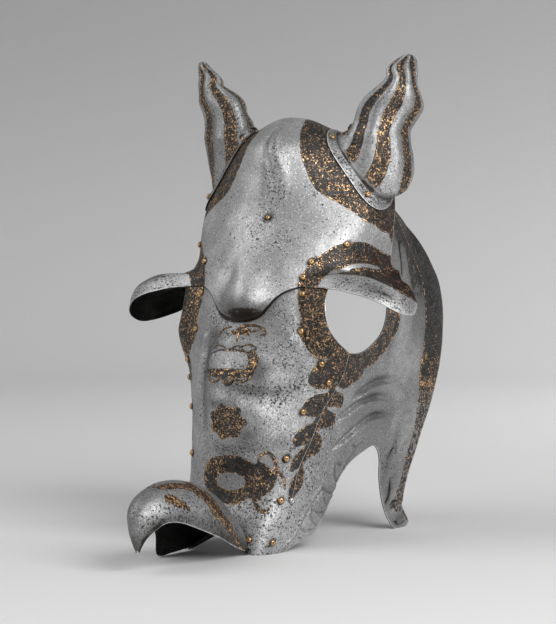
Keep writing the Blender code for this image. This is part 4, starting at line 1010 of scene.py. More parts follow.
def plate_steel(name, finish, tone, pits):
    """Worn steel with pits; where etched, its bands are blackened and hold the last of their gilding."""
    made = Recipe(name)
    etch, rust, stain, rim, gold, pitted = map(made.field, ("etch", "rust", "stain", "rim", "gold", "pitted"))
    light, shade = times(finish.steel, tone), times(finish.steel_shade, tone)
    clouds, mottle, grain = made.noise(0.070, 3.0), made.noise(0.011, 4.0, 0.6), made.noise(0.0022, 2.0, 0.6)

    # Pits: coarse ones crowd together, fine ones are everywhere
    crowd = made.step(made.plus(made.noise(0.030, 3.0, 0.6), made.times(pitted, 0.35)), 0.30, 0.85)
    limit = made.scale(crowd, 0.72 - 0.07 * pits, 0.58 - 0.07 * pits)
    coarse = made.step(made.math("SUBTRACT", made.noise(0.0028, 2.5, 0.7), limit), 0.0, 0.04)
    pit = made.most(coarse, made.times(made.blots(0.68 - 0.04 * pits, 0.73, 0.0021, 1.0), 0.8))
    rubbed = made.times(made.step(rim, 1.7, 0.5), made.blots(0.36, 0.50, 0.007, 3.0))
    pit = made.times(pit, made.scale(rubbed, 1.0, 0.2))

    # Bare steel: clouded, grained, with painted glints, darkened by the stain field with stains, painted
    # shade and painted shadow, and rubbed bright at the rims
    colour = made.blend(made.step(clouds, 0.35, 0.65), shade, light)
    colour = made.blend(made.scale(made.step(mottle, 0.42, 0.62), 0.0, 0.40), colour, shade)
    colour = made.blend(made.scale(made.step(grain, 0.42, 0.62), 0.0, 0.62), colour, shade)
    # Painted glints: small specks of brighter steel, painted highlights
    colour = made.blend(made.times(made.blots(0.58, 0.70, 0.0019, 1.0), 0.6), colour, times(light, 1.5))
    # The stain field darkens the steel: real stains, painted shade in hollows and creases, and painted shadow
    # along seams and round rivets
    colour = made.blend(made.times(made.math("MINIMUM", stain, 1.0), 0.72), colour, finish.stain)
    colour = made.blend(made.times(pit, 0.86), colour, finish.pit)
    colour = made.blend(made.times(rubbed, 0.6), colour, finish.steel)
    # Where that field is strong, a torn dark film: patina under the boss, and painted shadow along the seams
    # and round the rivets
    torn = made.times(made.math("SUBTRACT", made.noise(0.0075, 4.0, 0.65), 0.5), 2.0)
    film = made.times(made.step(made.plus(stain, torn), 0.88, 1.02), made.step(stain, 0.86, 1.02))
    colour = made.blend(made.times(film, 0.92), colour, finish.stain)

    # Etched bands: a ragged border, and gilding left in veins and flecks on a russet ground
    depth = made.plus(etch, made.times(made.math("SUBTRACT", made.noise(0.0040, 2.0), 0.5), 1.8))
    dark = made.step(depth, -0.20, 0.35)
    veins = made.math("ABSOLUTE", made.math("SUBTRACT", made.noise(0.0070, 1.0, 0.5, 1.8), 0.5))
    veins = made.most(made.step(veins, 0.038, 0.018), made.blots(0.60, 0.65, 0.0032, 2.0, 0.6, 0.6))
    worn = made.step(made.plus(made.noise(0.014, 4.0, 0.65), made.times(gold, 0.13)), 0.51, 0.62)
    border = made.times(made.step(depth, 0.5, 0.9), made.step(depth, 1.9, 1.5), made.blots(0.44, 0.54, 0.009))
    gilt = made.most(made.times(veins, worn), border)
    gilt = made.times(gilt, made.blots(0.46, 0.52, 0.0030, 2.0, 0.6), dark)
    russet = made.times(rust, made.blots(0.30, 0.62, 0.008, 3.0, 0.6))
    ground = made.blend(russet, finish.etch, finish.rust)
    ground = made.blend(made.scale(made.step(mottle, 0.40, 0.65), 0.0, 0.7), ground, finish.pit)
    bare = made.times(made.blots(0.56, 0.66, 0.0024, 2.0, 0.6), made.scale(clouds, 0.10, 0.50))
    ground = made.blend(bare, ground, shade)
    gilding = made.blend(made.blots(0.42, 0.62, 0.0024, 1.0), times(finish.gilt, 0.42), finish.gilt)
    colour = made.blend(gilt, made.blend(dark, colour, ground), gilding)
    # Painted highlight: a thin line of bright steel along the plate edges that the rim field marks
    edge = made.times(made.step(rim, 0.9, 0.4), made.scale(mottle, 0.3, 1.0))
    colour = made.blend(edge, colour, finish.steel)

    roughness = made.most(made.scale(mottle, 0.46, 0.60), made.times(pit, 0.80))
    roughness = made.mix(gilt, made.mix(dark, roughness, 0.52), 0.33)
    metallic = made.mix(gilt, made.mix(dark, made.scale(pit, 0.86, 0.4), 0.7), 1.0)
    height = made.plus(made.times(pit, -1.0), made.times(grain, 0.30))
    height = made.plus(made.plus(height, made.times(dark, -0.5)), made.times(gilt, 0.6))
    return made.shader(colour, metallic, roughness, height, 0.00030)


def inlaid_gilding(name, finish):
    """Gilding left in the fine chased lines, worn through to the blackened ground."""
    made = Recipe(name)
    worn, mottle = made.blots(0.36, 0.50, 0.0045, 3.0, 0.6), made.noise(0.0014, 2.0, 0.6)
    colour = made.blend(made.scale(mottle, 0.0, 0.6), finish.gilt, times(finish.gilt, 0.55))
    colour = made.blend(made.times(worn, 0.9), colour, finish.etch)
    return made.shader(colour, 1.0, made.scale(worn, 0.30, 0.55), mottle, 0.00015)


def inner_steel(name, finish):
    """Dark unpolished steel of the inside and the edges, made near-black as painted shade."""
    made = Recipe(name)
    mottle, pit = made.noise(0.010, 4.0, 0.6), made.blots(0.55, 0.62, 0.0030, 3.0, 0.6)
    colour = made.blend(made.step(mottle, 0.35, 0.65), finish.inside, times(finish.inside, 2.0))
    colour = made.blend(made.times(pit, 0.8), colour, finish.pit)
    return made.shader(colour, 0.9, made.scale(mottle, 0.34, 0.58), made.times(pit, -1.0), 0.0003)


def rivet_metal(name, finish, bright, dull, low, high):
    """Metal of the rivets, rubbed bright on the domes, and dark where they meet the plate and in the dimple:
    painted shade with some grime.
    """
    made = Recipe(name)
    mottle = made.noise(0.0016, 3.0, 0.6)
    colour = made.blend(made.step(mottle, 0.45, 0.70), bright, dull)
    colour = made.blend(made.field("foot"), colour, finish.pit)
    return made.shader(colour, 1.0, made.scale(mottle, low, high), mottle, 0.0002)


# ---------------------------------------------------------------- settings

def colour_setting(name, description, default):
    return FloatVectorProperty(name=name, description=description, default=default, size=3, min=0.0, max=1.0,
                               subtype="COLOR")


def length_setting(name, description, default):
    return FloatProperty(name=name, description=description, default=default, min=0.0, max=0.1,
                         unit="LENGTH", precision=4)


def power_setting(name, description, default):
    return FloatProperty(name=name, description=description, default=default, min=0.0, max=5000.0,
                         unit="POWER")


class ArmourShape(bpy.types.PropertyGroup):
    """Sizes of the hammered relief."""
    step: length_setting("Mesh step", "Spacing of the mesh points on a plate", 0.0015)
    fold: length_setting("Cheek folds", "Height of the arched folds on the cheeks", 0.0060)
    flute: length_setting("Ear flutes", "Height of the flutes on the ears", 0.0016)
    boss: length_setting("Brow boss", "Extra height of the bulb over the nose", 0.0100)
    valley: length_setting("Hood valley", "Depth of the valley behind each eye hood", 0.0030)
    crease: length_setting("Crown crease", "Depth of the crease down the crown", 0.0024)
    scale: length_setting("Jaw scales", "Depth of the chased scales along the jaw", 0.0016)
    uneven: length_setting("Unevenness", "Height of the hammered unevenness", 0.0003)
    rivet_radius: length_setting("Rivet radius", "Radius of a rivet's head", 0.0041)
    rivet_height: length_setting("Rivet height", "Height of a rivet's head", 0.0034)


class ArmourFinish(bpy.types.PropertyGroup):
    """Colours of the metals."""
    steel: colour_setting("Steel", "Bright worn steel", (0.61, 0.61, 0.61))
    steel_shade: colour_setting("Steel shade", "Duller patches of the steel", (0.36, 0.36, 0.363))
    # This colour serves the dark film and also the painted shade and painted shadow
    stain: colour_setting("Stain", "Dark brown film on the steel", (0.030, 0.024, 0.020))
    pit: colour_setting("Pits", "Bottoms of the pits", (0.018, 0.016, 0.015))
    etch: colour_setting("Etched ground", "Blackened ground of the etched bands", (0.050, 0.047, 0.045))
    rust: colour_setting("Russet", "Etched ground where it has turned russet", (0.052, 0.019, 0.009))
    gilt: colour_setting("Gilding", "Gilding left on the etched bands", (0.97, 0.60, 0.30))
    brass: colour_setting("Rivets", "Gilt brass of the rivets", (0.58, 0.37, 0.18))
    # Near-black: unpolished steel, darkened further as painted shade
    inside: colour_setting("Inside", "Unpolished inside of the plates", (0.020, 0.020, 0.019))


class ArmourStage(bpy.types.PropertyGroup):
    """Floor and light."""
    floor: colour_setting("Floor", "Colour of the floor", (0.88, 0.88, 0.88))
    backdrop: colour_setting("Backdrop", "Colour high on the backdrop", (0.50, 0.50, 0.50))
    radius: FloatProperty(name="Stage radius", description="Radius of the flat floor", default=3.0,
                          min=1.0, max=50.0, unit="LENGTH")
    key: power_setting("Key light", "Power of the main soft light in watts", 66.0)
    fill: power_setting("Fill light", "Power of the fill light in watts", 34.0)
    back: power_setting("Backdrop light", "Power of the light on the backdrop in watts", 73.0)
    world: FloatProperty(name="Surround", description="Strength of the even surrounding light", default=0.28,
                         min=0.0, max=10.0)


def settings(context):
    """The sizes and the colours in use."""
    return context.scene.armour_shape, context.scene.armour_finish


# ---------------------------------------------------------------- operators

class ARMOUR_OT_crown(bpy.types.Operator):
    """Build the poll and forehead plate with its boss and eye hoods"""
    bl_idname = "armour.crown"
    bl_label = "Crown plate"
    bl_options = {"REGISTER", "UNDO"}

    def execute(self, context):
        sizes, finish = settings(context)
        shape = grid_plate((-CROWN_HALF_AROUND, 0.0), (CROWN_HALF_AROUND, 1.0), *CROWN_SQUARES)
        around, _, level = self.spread(shape)
        under_ear = ear_reach(around, level) < EAR_HOLE
        bmesh.ops.delete(shape, geom=[v for v, gone in zip(shape.verts, under_ear) if gone], context="VERTS")
        around, down, level = self.spread(shape)
        flat = np.stack([around, level], axis=1) * FLAT
        points = crown_point(around, down)
        move(shape, points)
        raise_relief(shape, self.relief(flat, around, down, points, sizes))
        fields = self.fields(flat, around, down, level, points)
        materials = [plate_steel("crown_steel", finish, 1.0, 0.45), inner_steel("crown_inside", finish)]
        make_plate("crown", shape, fields, materials, ["crown_plate"])
        return {"FINISHED"}

    def spread(self, shape):
        """Around, down and level of every point of the flat plate."""
        flat = places(shape)
        around, down = flat[:, 0], 1.0 - flat[:, 1]
        body, front, _ = crown_level(around, down)
        return around, down, np.where(down <= BODY_SHARE, body, front)

    def relief(self, flat, around, down, points, sizes):
        """Hammered relief: crease, boss, the hollows round it, valley behind each hood, swell and lip."""
        away = np.abs(around)
        distance, side, share = segment_distance(flat, smooth_line(CREASE))
        crease = 1.2 * bell(distance * side, 0.011, 0.007) - bell(distance, 0.0, 0.0030)
        under = smooth(1.0 - (1.0 - down) * CROWN_LENGTH / 10.0) * np.exp(-(around / 0.42) ** 4)
        hood = -sizes.valley * bell(down, 0.735 + 0.04 * np.clip(away - 1.5, 0.0, 1.0), 0.022)
        hood += 0.0010 * bell(down, 0.80, 0.030) + 0.0008 * bell(down, 1.0, 0.012)
        return (sizes.crease * crease * between(share, 0.0, 0.3, 0.6, 1.0) + sizes.boss * dome(points, *BULB)
                - HOLLOW_DEPTH * dome(points, *HOLLOW) - DENT_DEPTH * dome(points, *DENT)
                + hood * rise(away, 0.98, 0.30) * rise(away, 1.90, -0.40) - UNDERCUT * under
                + undulate(points, CROWN_SWELL, sizes.uneven))

    def fields(self, flat, around, down, level, points):
        """Bands, russet, stains and painted shade and shadow, and pitting over the crown plate."""
        away = np.abs(around)
        crescent = np.where(down < 0.645, band_depth(flat, CRESCENT), FAR_OUT)
        brow = patch_depth(points, np.stack([around, down], axis=1), BROW_BAND, crown_point)
        root = np.minimum((1.22 - 0.30 * rise(down, 0.80, 0.14) - away) * AROUND_LENGTH,
                          (down - 0.69) * HOOD_LENGTH)
        brow = np.where(around < -0.85, np.maximum(brow, root), brow)
        upper, lower = (np.interp(away, HOOD_STRIPE[0], edge) for edge in HOOD_STRIPE[1:])
        stripe = np.minimum(down - upper, lower - down) * HOOD_LENGTH

        # Stains and painted shade: painted shadow along the front edge at the seam and round the ear flanges,
        # and darker patches on the hood lips
        edge = smooth(1.3 - (1.0 - down) * CROWN_LENGTH / 1.3) * (away < 1.0)
        flange = halo(ear_reach(around, level) - EAR_FLANGE, 0.045)
        near_lip = bell(down, 0.955, 0.022) * bell(around, 1.42, 0.20)
        far_top = rise(down, 0.945, -0.03) * rise(around, -1.12, -0.10) * rise(down, 0.78, 0.05)
        stain = spots(flat, *CROWN_STAINS_AND_SHADE) + 1.4 * edge + flange + near_lip + 0.84 * far_top

        poll = rise(down, 0.16, -0.08) * rise(away, 0.30, 0.10) * rise(away, 0.75, -0.10)
        rust = np.maximum(rise(away, 1.35, 0.35), poll)
        front = rise(down, 0.90, 0.03) * rise(away, 1.00, 0.10) * rise(away, 1.80, -0.30)
        clean = rise(away, 1.05, 0.15) * (1.0 - front) * (down > 0.7)
        lip = (1.0 - down) * CROWN_LENGTH - FAR_OUT * rise(away, 1.05, -0.10)
        return surface_fields(
            len(flat), etch=np.max([crescent, brow, stripe], axis=0), rust=rust,
            stain=stain + rivet_shade(flat, CROWN_FACE),
            gold=0.8 - 0.8 * rust + 0.3 * rise(down, 0.66, -0.05) * (away > 0.7),
            pitted=np.clip(spots(flat, *CROWN_PITS) + front * 1.2, 0.0, 1.4) - 0.8 * clean,
            rim=np.min([lip, down * CROWN_LENGTH, (CROWN_HALF_AROUND - away) * AROUND_LENGTH], axis=0))


class ARMOUR_OT_muzzle(bpy.types.Operator):
    """Build the long nose plate with its etched ornaments"""
    bl_idname = "armour.muzzle"
    bl_label = "Nose plate"
    bl_options = {"REGISTER", "UNDO"}

    def execute(self, context):
        sizes, finish = settings(context)
        right = outline_points(MUZZLE_RUNS)
        left = (right * (-1.0, 1.0))[::-1]
        outline = np.concatenate([right, left[:-1]])
        shape = cut_plate([outline], sizes.step)
        flat, around, level = flat_places(shape)
        points = face_point(around, level, muzzle_height(flat))
        points += mask_normal(around, level) * undulate(points, MUZZLE_SWELL, sizes.uneven)[:, None]
        move(shape, points)
        # Painted shadow under the crown's front edge; the stain field here also holds painted shade in the
        # nose hollows and painted shadow round the rivets
        seam = 1.3 * smooth(1.0 - (seam_level(around) - level) * FLAT[1] / 0.0034)
        fields = surface_fields(
            len(flat), etch=np.maximum(band_depth(flat, MUZZLE_BAND, LEAF), nose_ornament(flat)),
            rim=loop_depth(flat, outline), gold=0.5 + 0.7 * rise(level, 5.0, 0.6) + spots(flat, *NOSE_GOLD),
            rust=spots(flat, *NOSE_RUSSET), pitted=spots(flat, *NOSE_PITS) - 0.4 * rise(around, -0.45, -0.1),
            stain=np.minimum(spots(flat, *NOSE_SHADE), 0.82) + seam + rivet_shade(flat, MUZZLE_FACE))
        materials = [plate_steel("muzzle_steel", finish, 0.82, 1.1), inner_steel("muzzle_inside", finish)]
        make_plate("muzzle", shape, fields, materials, ["muzzle_plate"], trimmed=True)
        self.inlay(finish)
        return {"FINISHED"}

    def inlay(self, finish):
        """Fine gilt lines, a little proud of the plate, as one piece."""
        shape = bmesh.new()
        for width, line in INLAY:
            path = smooth_line(line)
            lengths = np.concatenate([[0.0], np.cumsum(np.linalg.norm(np.diff(path, axis=0), axis=1))])
            rows = max(4, round(lengths[-1] / INLAY_STEP))
            share = np.linspace(0.0, 1.0, rows + 1)
            middle = np.stack([np.interp(share * lengths[-1], lengths, path[:, k]) for k in (0, 1)], axis=1)
            way = unit(np.gradient(middle, axis=0))
            half = width / 2000.0 * (0.45 + 0.55 * np.sin(share * math.pi))
            side = np.stack([-way[:, 1], way[:, 0]], axis=1) * half[:, None]
            strip = grid_plate((0.0, 0.0), (2.0, float(rows)), 2, rows)
            cells = places(strip)
            row = np.rint(cells[:, 1]).astype(int)
            flat = middle[row] + side[row] * (cells[:, :1] - 1.0)
            crowned = INLAY_CROWN * (1.0 - 0.7 * np.abs(cells[:, 0] - 1.0))
            move(strip, face_point(*(flat / FLAT).T, muzzle_height(flat) + crowned))
            mesh = bpy.data.meshes.new("strip")
            strip.to_mesh(mesh)
            strip.free()
            shape.from_mesh(mesh)
            bpy.data.meshes.remove(mesh)
        materials = [inlaid_gilding("nose_gilding", finish)] * 2
        make_plate("nose_scrollwork", shape, {}, materials, [], wall=0.0005)


class ARMOUR_OT_cheeks(bpy.types.Operator):
    """Build the two side plates round the eyes"""
    bl_idname = "armour.cheeks"
    bl_label = "Cheek plates"
    bl_options = {"REGISTER", "UNDO"}

    def execute(self, context):
        sizes, finish = settings(context)
        materials = [plate_steel("cheek_steel", finish, 0.94, 0.30), inner_steel("cheek_inside", finish)]
        outline = outline_points(CHEEK_RUNS)
        eye = run_points(EYE_HOLE, CUT_STEP)
        for word in ("right", "left"):
            shape = cut_plate([outline, eye], sizes.step)
            flat, around, level = flat_places(shape)
            points = face_point(around, level, CHEEK_FACE + self.relief(flat, sizes))
            points += mask_normal(around, level) * undulate(points, CHEEK_SWELL, sizes.uneven)[:, None]
            move(shape, points)
            if word == "left":
                mirror(shape)
            fields = self.fields(flat, around, level, outline, eye)
            make_plate("cheek_" + word, shape, fields, materials, ["cheek_plate_" + word],
                       trimmed=True)
        return {"FINISHED"}

    def relief(self, flat, sizes):
        """Folds, each a step with a hollow under it, and chased lines and scales."""
        total = chased(flat, CHEEK_RELIEF) / 1000.0
        for line in FOLDS:
            distance, side, share = segment_distance(flat, smooth_line(line))
            inside = rise(distance * side, 0.0010, -0.0020)
            step = inside * np.exp(-np.maximum(-distance * side, 0.0) / 0.009)
            hollow = (1.0 - inside) * bell(distance, 0.0018, 0.0040)
            total += sizes.fold * (step - 0.55 * hollow) * between(share, 0.0, 0.25, 0.80, 1.0)
        for line in JAW_SCALES:
            distance, side, share = segment_distance(flat, smooth_line(line))
            edge = bell(distance, 0.0, 0.0016) - 0.8 * bell(distance * side, -0.003, 0.003)
            total -= sizes.scale * edge * between(share, -0.1, 0.1, 0.9, 1.1)
        return total

    def fields(self, flat, around, level, outline, eye):
        """Bands, stains and painted shade, and pitting over a cheek."""
        faded = rise(around, 2.60, 0.10) * rise(level, 4.9, -0.6)
        rear = rise(around, 2.45, 0.15)
        bright = spots(flat, (0.7, 2.9, 4.8, 0.4, 0.9)) - 0.5 - 1.5 * rise(level, 5.2, 1.0)
        lines = JAW_SCALES + tuple(line for height, _, line in CHEEK_RELIEF if height < DARK_LINE)
        # Grime and painted shade along the deep chased lines and scales, and over the rear of the cheek
        grime_and_shade = chased(flat, [(0.5, 1.2, line) for line in lines]) + 0.30 * rise(around, 1.62, 0.25)
        # Darker towards the top and towards the rear
        upper = 0.40 * rise(level, 6.2, 1.2) * rise(around, 1.6, 0.3) + 0.40 * rear * rise(level, 5.0, 1.0)
        return surface_fields(
            len(flat), etch=np.minimum(band_depth(flat, EYE_BAND, REAR_BAND, LEAF), 3.0 - 2.80 * faded),
            rim=np.minimum(loop_depth(flat, outline), -loop_depth(flat, eye)),
            gold=0.6 + 0.8 * faded + spots(flat, (0.5, 1.5, 4.2, 0.4, 1.2)) + rear * bright,
            rust=spots(flat, (0.35, 1.15, 6.0, 0.3, 0.5)) + 0.5 * rear * rise(level, 8.0, 1.0),
            stain=spots(flat, *CHEEK_STAINS_AND_SHADE) + grime_and_shade + upper,
            pitted=(0.9 * rise(around, 1.75, -0.30) * rise(level, 4.6, -0.8)
                    + spots(flat, (0.4, 2.62, 2.6, 0.1, 1.0))))


class ARMOUR_OT_snout(bpy.types.Operator):
    """Build the hollow hooked snout"""
    bl_idname = "armour.snout"
    bl_label = "Hooked snout"
    bl_options = {"REGISTER", "UNDO"}

    def execute(self, context):
        sizes, finish = settings(context)
        last = len(SNOUT_FLANGE) + len(SNOUT) - 1.0
        shape = grid_plate((-1.0, 0.0), (1.0, last), *SNOUT_SQUARES)
        share, place = places(shape)[:, :2].T
        away = np.abs(share)
        points = self.surface(share, place)
        move(shape, points)
        face_outwards(shape, 2)
        raise_relief(shape, undulate(points, SNOUT_SWELL, sizes.uneven))
        trim = np.full(len(points), FAR_OUT)
        for half, line in SNOUT_TRIM:
            path = finer(line, 6 * len(line))
            for side in (-1.0, 1.0):
                middle = self.surface(path[:, 0] * side, path[:, 1])
                trim = np.maximum(trim, half - line_distance(points, middle) * 1000.0)
        # Stains and painted shade: darker towards the rims, the hooked tip and the nose plate, with one
        # lighter spot
        stain = (0.74 * rise(away, 0.66, 0.28) + 0.22 * rise(place, 9.6, -1.0) + 0.60 * rise(place, 13.6, 1.6)
                 + 0.35 * rise(place, 11.5, 1.0)
                 + spots(np.stack([share, place], axis=1) * FLAT, (-0.45, 0.62, 11.6, 0.20, 1.6)))
        fields = surface_fields(
            len(points), etch=trim * np.where(trim > 0.0, 0.26, 1.0), rust=1.0, gold=2.2, stain=stain,
            pitted=0.6 * rise(away, 0.3, 0.4),
            rim=np.minimum((1.0 - away) * SNOUT_GIRTH, (last - place) * SNOUT_ROW))
        materials = [plate_steel("snout_steel", finish, 0.72, 0.9), inner_steel("snout_inside", finish)]
        make_plate("snout_hook", shape, fields, materials, ["snout"], trimmed=True)
        return {"FINISHED"}

    def surface(self, share, place):
        """Points of the snout, share -1 to 1 from rim to rim and place along it."""
        rows = [self.flange(share, *row) for row in SNOUT_FLANGE] + [self.arch(share, *row) for row in SNOUT]
        return along(np.stack(rows), place, apart=True)

    def flange(self, share, up, stand):
        """Row of the flange behind the muzzle plate."""
        around = share * SNOUT_LAP_AROUND
        level = np.interp(np.abs(around), *np.transpose(MUZZLE_RUNS[0])) + up
        return mask_point(around, level) + mask_normal(around, level) * (SNOUT_FACE + stand)

    def arch(self, share, ridge_y, ridge_z, rim_x, rim_y, rim_z, left_drop):
        """Arched row of the snout."""
        turn = np.abs(share) * math.pi / 2.0
        fall = 1.0 - np.cos(turn)
        rim = rim_z - np.where(share < 0.0, left_drop, 0.0)
        return np.stack([np.sign(share) * rim_x * np.sin(turn), ridge_y + (rim_y - ridge_y) * fall,
                         ridge_z + (rim - ridge_z) * fall], axis=1)


class ARMOUR_OT_ears(bpy.types.Operator):
    """Build the two fluted ear guards"""
    bl_idname = "armour.ears"
    bl_label = "Ear guards"
    bl_options = {"REGISTER", "UNDO"}

    def execute(self, context):
        sizes, finish = settings(context)
        materials = [plate_steel("ear_steel", finish, 0.74, 0.6), inner_steel("ear_inside", finish)]
        for word in ("right", "left"):
            far = word == "left"
            shape = grid_plate((0.0, 0.0), (1.0, 1.0), *EAR_SQUARES)
            across, up = places(shape)[:, :2].T
            rings = self.rings(across * 2.0 * math.pi)
            last = len(rings) - 1
            place = up * last
            points = along(rings, place, apart=True)
            values = np.stack([place, *self.wave(points, *EAR_FLUTES[word])], axis=1)
            move(shape, self.sway(points, place, *EAR_SWAY[word], EAR_TIP_DROP[word]))
            place, wave, angle = self.close(shape, values).T
            points = places(shape)
            flute = wave * sizes.flute * rise(place, 2.6, 1.6) * rise(place, last, -1.5)
            raise_relief(shape, undulate(points, EAR_SWELL, sizes.uneven) - flute)
            if far:
                mirror(shape)
            height = points[:, 2]
            dull = bell(angle, -144.0, 26.0) * rise(height, 0.492, 0.02) * (not far)
            depth = np.arcsin(np.clip(wave, -1.0, 1.0)) * 3.6 * rise(place, 2.2, 1.2)
            # The stain field on an ear: painted shadow in a ring at its foot, and painted shade in the sunk
            # flutes
            fields = surface_fields(
                len(points), rim=place * EAR_RING,
                gold=2.3 - 2.6 * dull - 0.8 * far * rise(height, 0.585, 0.02),
                etch=np.minimum(np.where(place > 2.3, depth, -6.0), 4.0 - 3.5 * smooth(dull * 2.0)),
                pitted=1.4 * rise(place, 2.2, -0.4) + 0.3 * far * (wave < 0.0),
                stain=bell(place, 2.15, 0.16) + 0.35 * smooth(wave * 2.0))
            thin = np.clip((EAR_TIP - height) / 0.020, 0.05, 1.0)
            make_plate("ear_" + word, shape, fields, materials, ["ear_guard_" + word], thin=thin)
        return {"FINISHED"}

    def close(self, shape, values):
        """Join the ear's seam and tip, turn its faces out, and give the values of the points left."""
        names = ("place", "wave", "angle")
        layers = [shape.verts.layers.float.new(name) for name in names]
        for vertex, row in zip(shape.verts, values):
            for layer, value in zip(layers, row):
                vertex[layer] = value
        bmesh.ops.remove_doubles(shape, verts=shape.verts, dist=0.00005)
        face_outwards(shape, 0)
        kept = np.array([[vertex[layer] for layer in layers] for vertex in shape.verts])
        for name in names:
            shape.verts.layers.float.remove(shape.verts.layers.float[name])
        return kept

    def wave(self, points, count, middle):
        """1 in the middle of an etched flute, -1 in that of a bright one; and the angle round the ear."""
        centre, ahead, aside = self.offset(points, EAR_TURN)
        angle = np.arctan2(aside / centre[:, 4], ahead / centre[:, 3])
        heights, degrees = np.transpose(middle)
        turned = angle - np.radians(np.interp(points[:, 2], heights / 1000.0, degrees))
        return np.cos(count * turned), np.degrees(angle)

    def offset(self, points, way):
        """Section of the ear at each point, and how far the point is ahead and aside of its centre."""
        centre = along(EARS, np.interp(points[:, 2], EARS[:, 2], np.arange(len(EARS))))
        x, y = (points - centre[:, 0:3])[:, :2].T
        return centre, x * math.cos(way) + y * math.sin(way), y * math.cos(way) - x * math.sin(way)

    def sway(self, points, place, direction, rows, drop):
        """Push the two sides of an ear in and out along one level direction, and lower its tip."""
        way = math.radians(direction)
        height, *sides = finer(rows, 6 * len(rows)).T
        near, far = (np.interp(points[:, 2], height, side) for side in sides)
        centre, ahead, _ = self.offset(points, way)
        half = np.hypot(centre[:, 3] * math.cos(EAR_TURN - way), centre[:, 4] * math.sin(EAR_TURN - way))
        share = smooth((ahead / half + 1.0) / 2.0)
        shift = (near + (far - near) * share) * rise(place, 2.0, 0.5)
        fall = drop * rise(points[:, 2], 0.575, 0.045)
        return points + np.stack([shift * math.cos(way), shift * math.sin(way), -fall], axis=1)

    def rings(self, turn):
        """Rings of the ear from the edge of its flange to its tip."""
        rings = []
        for size in (EAR_FLANGE, 1.12, 1.0):
            around = EAR_ROOT[0] + size * EAR_ROOT_REACH[0] * np.cos(turn)
            level = EAR_ROOT[1] + size * EAR_ROOT_REACH[1] * np.sin(turn)
            rings.append(face_point(around, level, EAR_FACE))
        root = rings[-1]
        sections = [self.section(turn + EAR_SEAM, *row) for row in EARS]
        sections[0][:, 2] = np.maximum(sections[0][:, 2], root[:, 2] + 0.011)
        for step in (0.25, 0.5, 0.75):
            ring = root + (sections[0] - root) * step ** 0.55
            ring[:, 2] = root[:, 2] + (sections[0][:, 2] - root[:, 2]) * step
            rings.append(ring)
        return np.stack(rings + sections)

    def section(self, turn, x, y, z, half_length, half_width):
        """Level section of the ear."""
        ahead, aside = half_length * np.cos(turn), half_width * np.sin(turn)
        return np.stack([x + ahead * math.cos(EAR_TURN) - aside * math.sin(EAR_TURN),
                         y + ahead * math.sin(EAR_TURN) + aside * math.cos(EAR_TURN),
                         np.full_like(turn, z)], axis=1)


class ARMOUR_OT_rivets(bpy.types.Operator):
    """Build the domed rivets, and the old empty rivet holes as thin dark discs of painted shade"""
    bl_idname = "armour.rivets"
    bl_label = "Rivets"
    bl_options = {"REGISTER", "UNDO"}

    def execute(self, context):
        sizes, finish = settings(context)
        radius, height = sizes.rivet_radius, sizes.rivet_height
        brass = rivet_metal("rivet_gilt_brass", finish, finish.brass, times(finish.brass, 0.45), 0.20, 0.42)
        steel = rivet_metal("rivet_steel", finish, finish.steel, finish.steel_shade, 0.25, 0.45)
        heads = [(*spot, SMALL_RIVET if name.startswith("crown") else 1.0) for name, *spot in rivet_spots()]
        nodes = ["rivet_" + name for name, *_ in rivet_spots()]
        self.heads("rivet_heads", heads, radius, height, brass, nodes)
        plain = [(*place, MUZZLE_FACE, 1.0) for place in PLAIN_RIVETS]
        self.heads("plain_rivets", plain, radius * PLAIN_RIVET, height, steel, [])
        # Empty holes: thin near-black discs of painted shade
        holes = [(*place, CROWN_FACE, 1.0) for place in EMPTY_HOLES]
        dark = inner_steel("hole_dark", finish)
        self.heads("empty_holes", holes, HOLE_RADIUS, HOLE_HEIGHT, dark, [])
        return {"FINISHED"}

    def heads(self, name, heads, radius, height, material, nodes):
        """One piece of turned heads on their seats."""
        shape = bmesh.new()
        foot = shape.verts.layers.float.new("foot")
        for around, level, seat, size in heads:
            self.rivet(shape, foot, around, level, seat, radius * size, height * size)
        piece = new_piece(name, shape, [material])
        piece.data.set_sharp_from_angle(angle=math.radians(60))
        place_piece(piece, nodes)

    def rivet(self, shape, foot, around, level, seat, radius, top):
        """One turned rivet with a dimpled dome and a shank."""
        place = np.array([around]), np.array([level])
        normal = Vector(mask_normal(*place)[0])
        base = Vector(mask_point(*place)[0])
        if seat == CROWN_FACE and level < TOP_LEVEL:
            base = Vector(crown_body(*place)[0]) - normal * CROWN_FACE
        base += normal * (seat + 0.0003)
        profile = [(0.0, top * 0.62), (radius * 0.13, top * 0.72), (radius * 0.27, top * 0.98),
                   (radius * 0.36, top)]
        for turn in np.arange(1, 6) / 5.0 * math.pi / 2.0:
            profile.append((radius * (0.36 + 0.64 * math.sin(turn)), top * math.cos(turn) ** 0.8))
        shank, sunk = radius * 0.35, -0.0002
        profile += [(radius * 0.96, sunk), (shank, sunk), (shank, -0.0045), (0.0, -0.0047)]
        line = [shape.verts.new((r, 0.0, z)) for r, z in profile]
        for vertex, (r, z) in zip(line, profile):
            # Foot darkness: 1 at the foot fading up the dome, and 1 in the top dimple: painted shade with
            # some grime
            grime_and_shade = max(0.0, 1.0 - max(z, 0.0) / (top * 0.45))
            vertex[foot] = grime_and_shade if r > radius * 0.5 else float(r < radius * 0.2)
        fresh = spin_profile(shape, line, RIVET_SIDES)
        turn = normal.to_track_quat("Z", "Y").to_matrix().to_4x4()
        turn.translation = base
        bmesh.ops.transform(shape, matrix=turn, verts=fresh)
        for vertex in fresh:
            vertex.tag = True


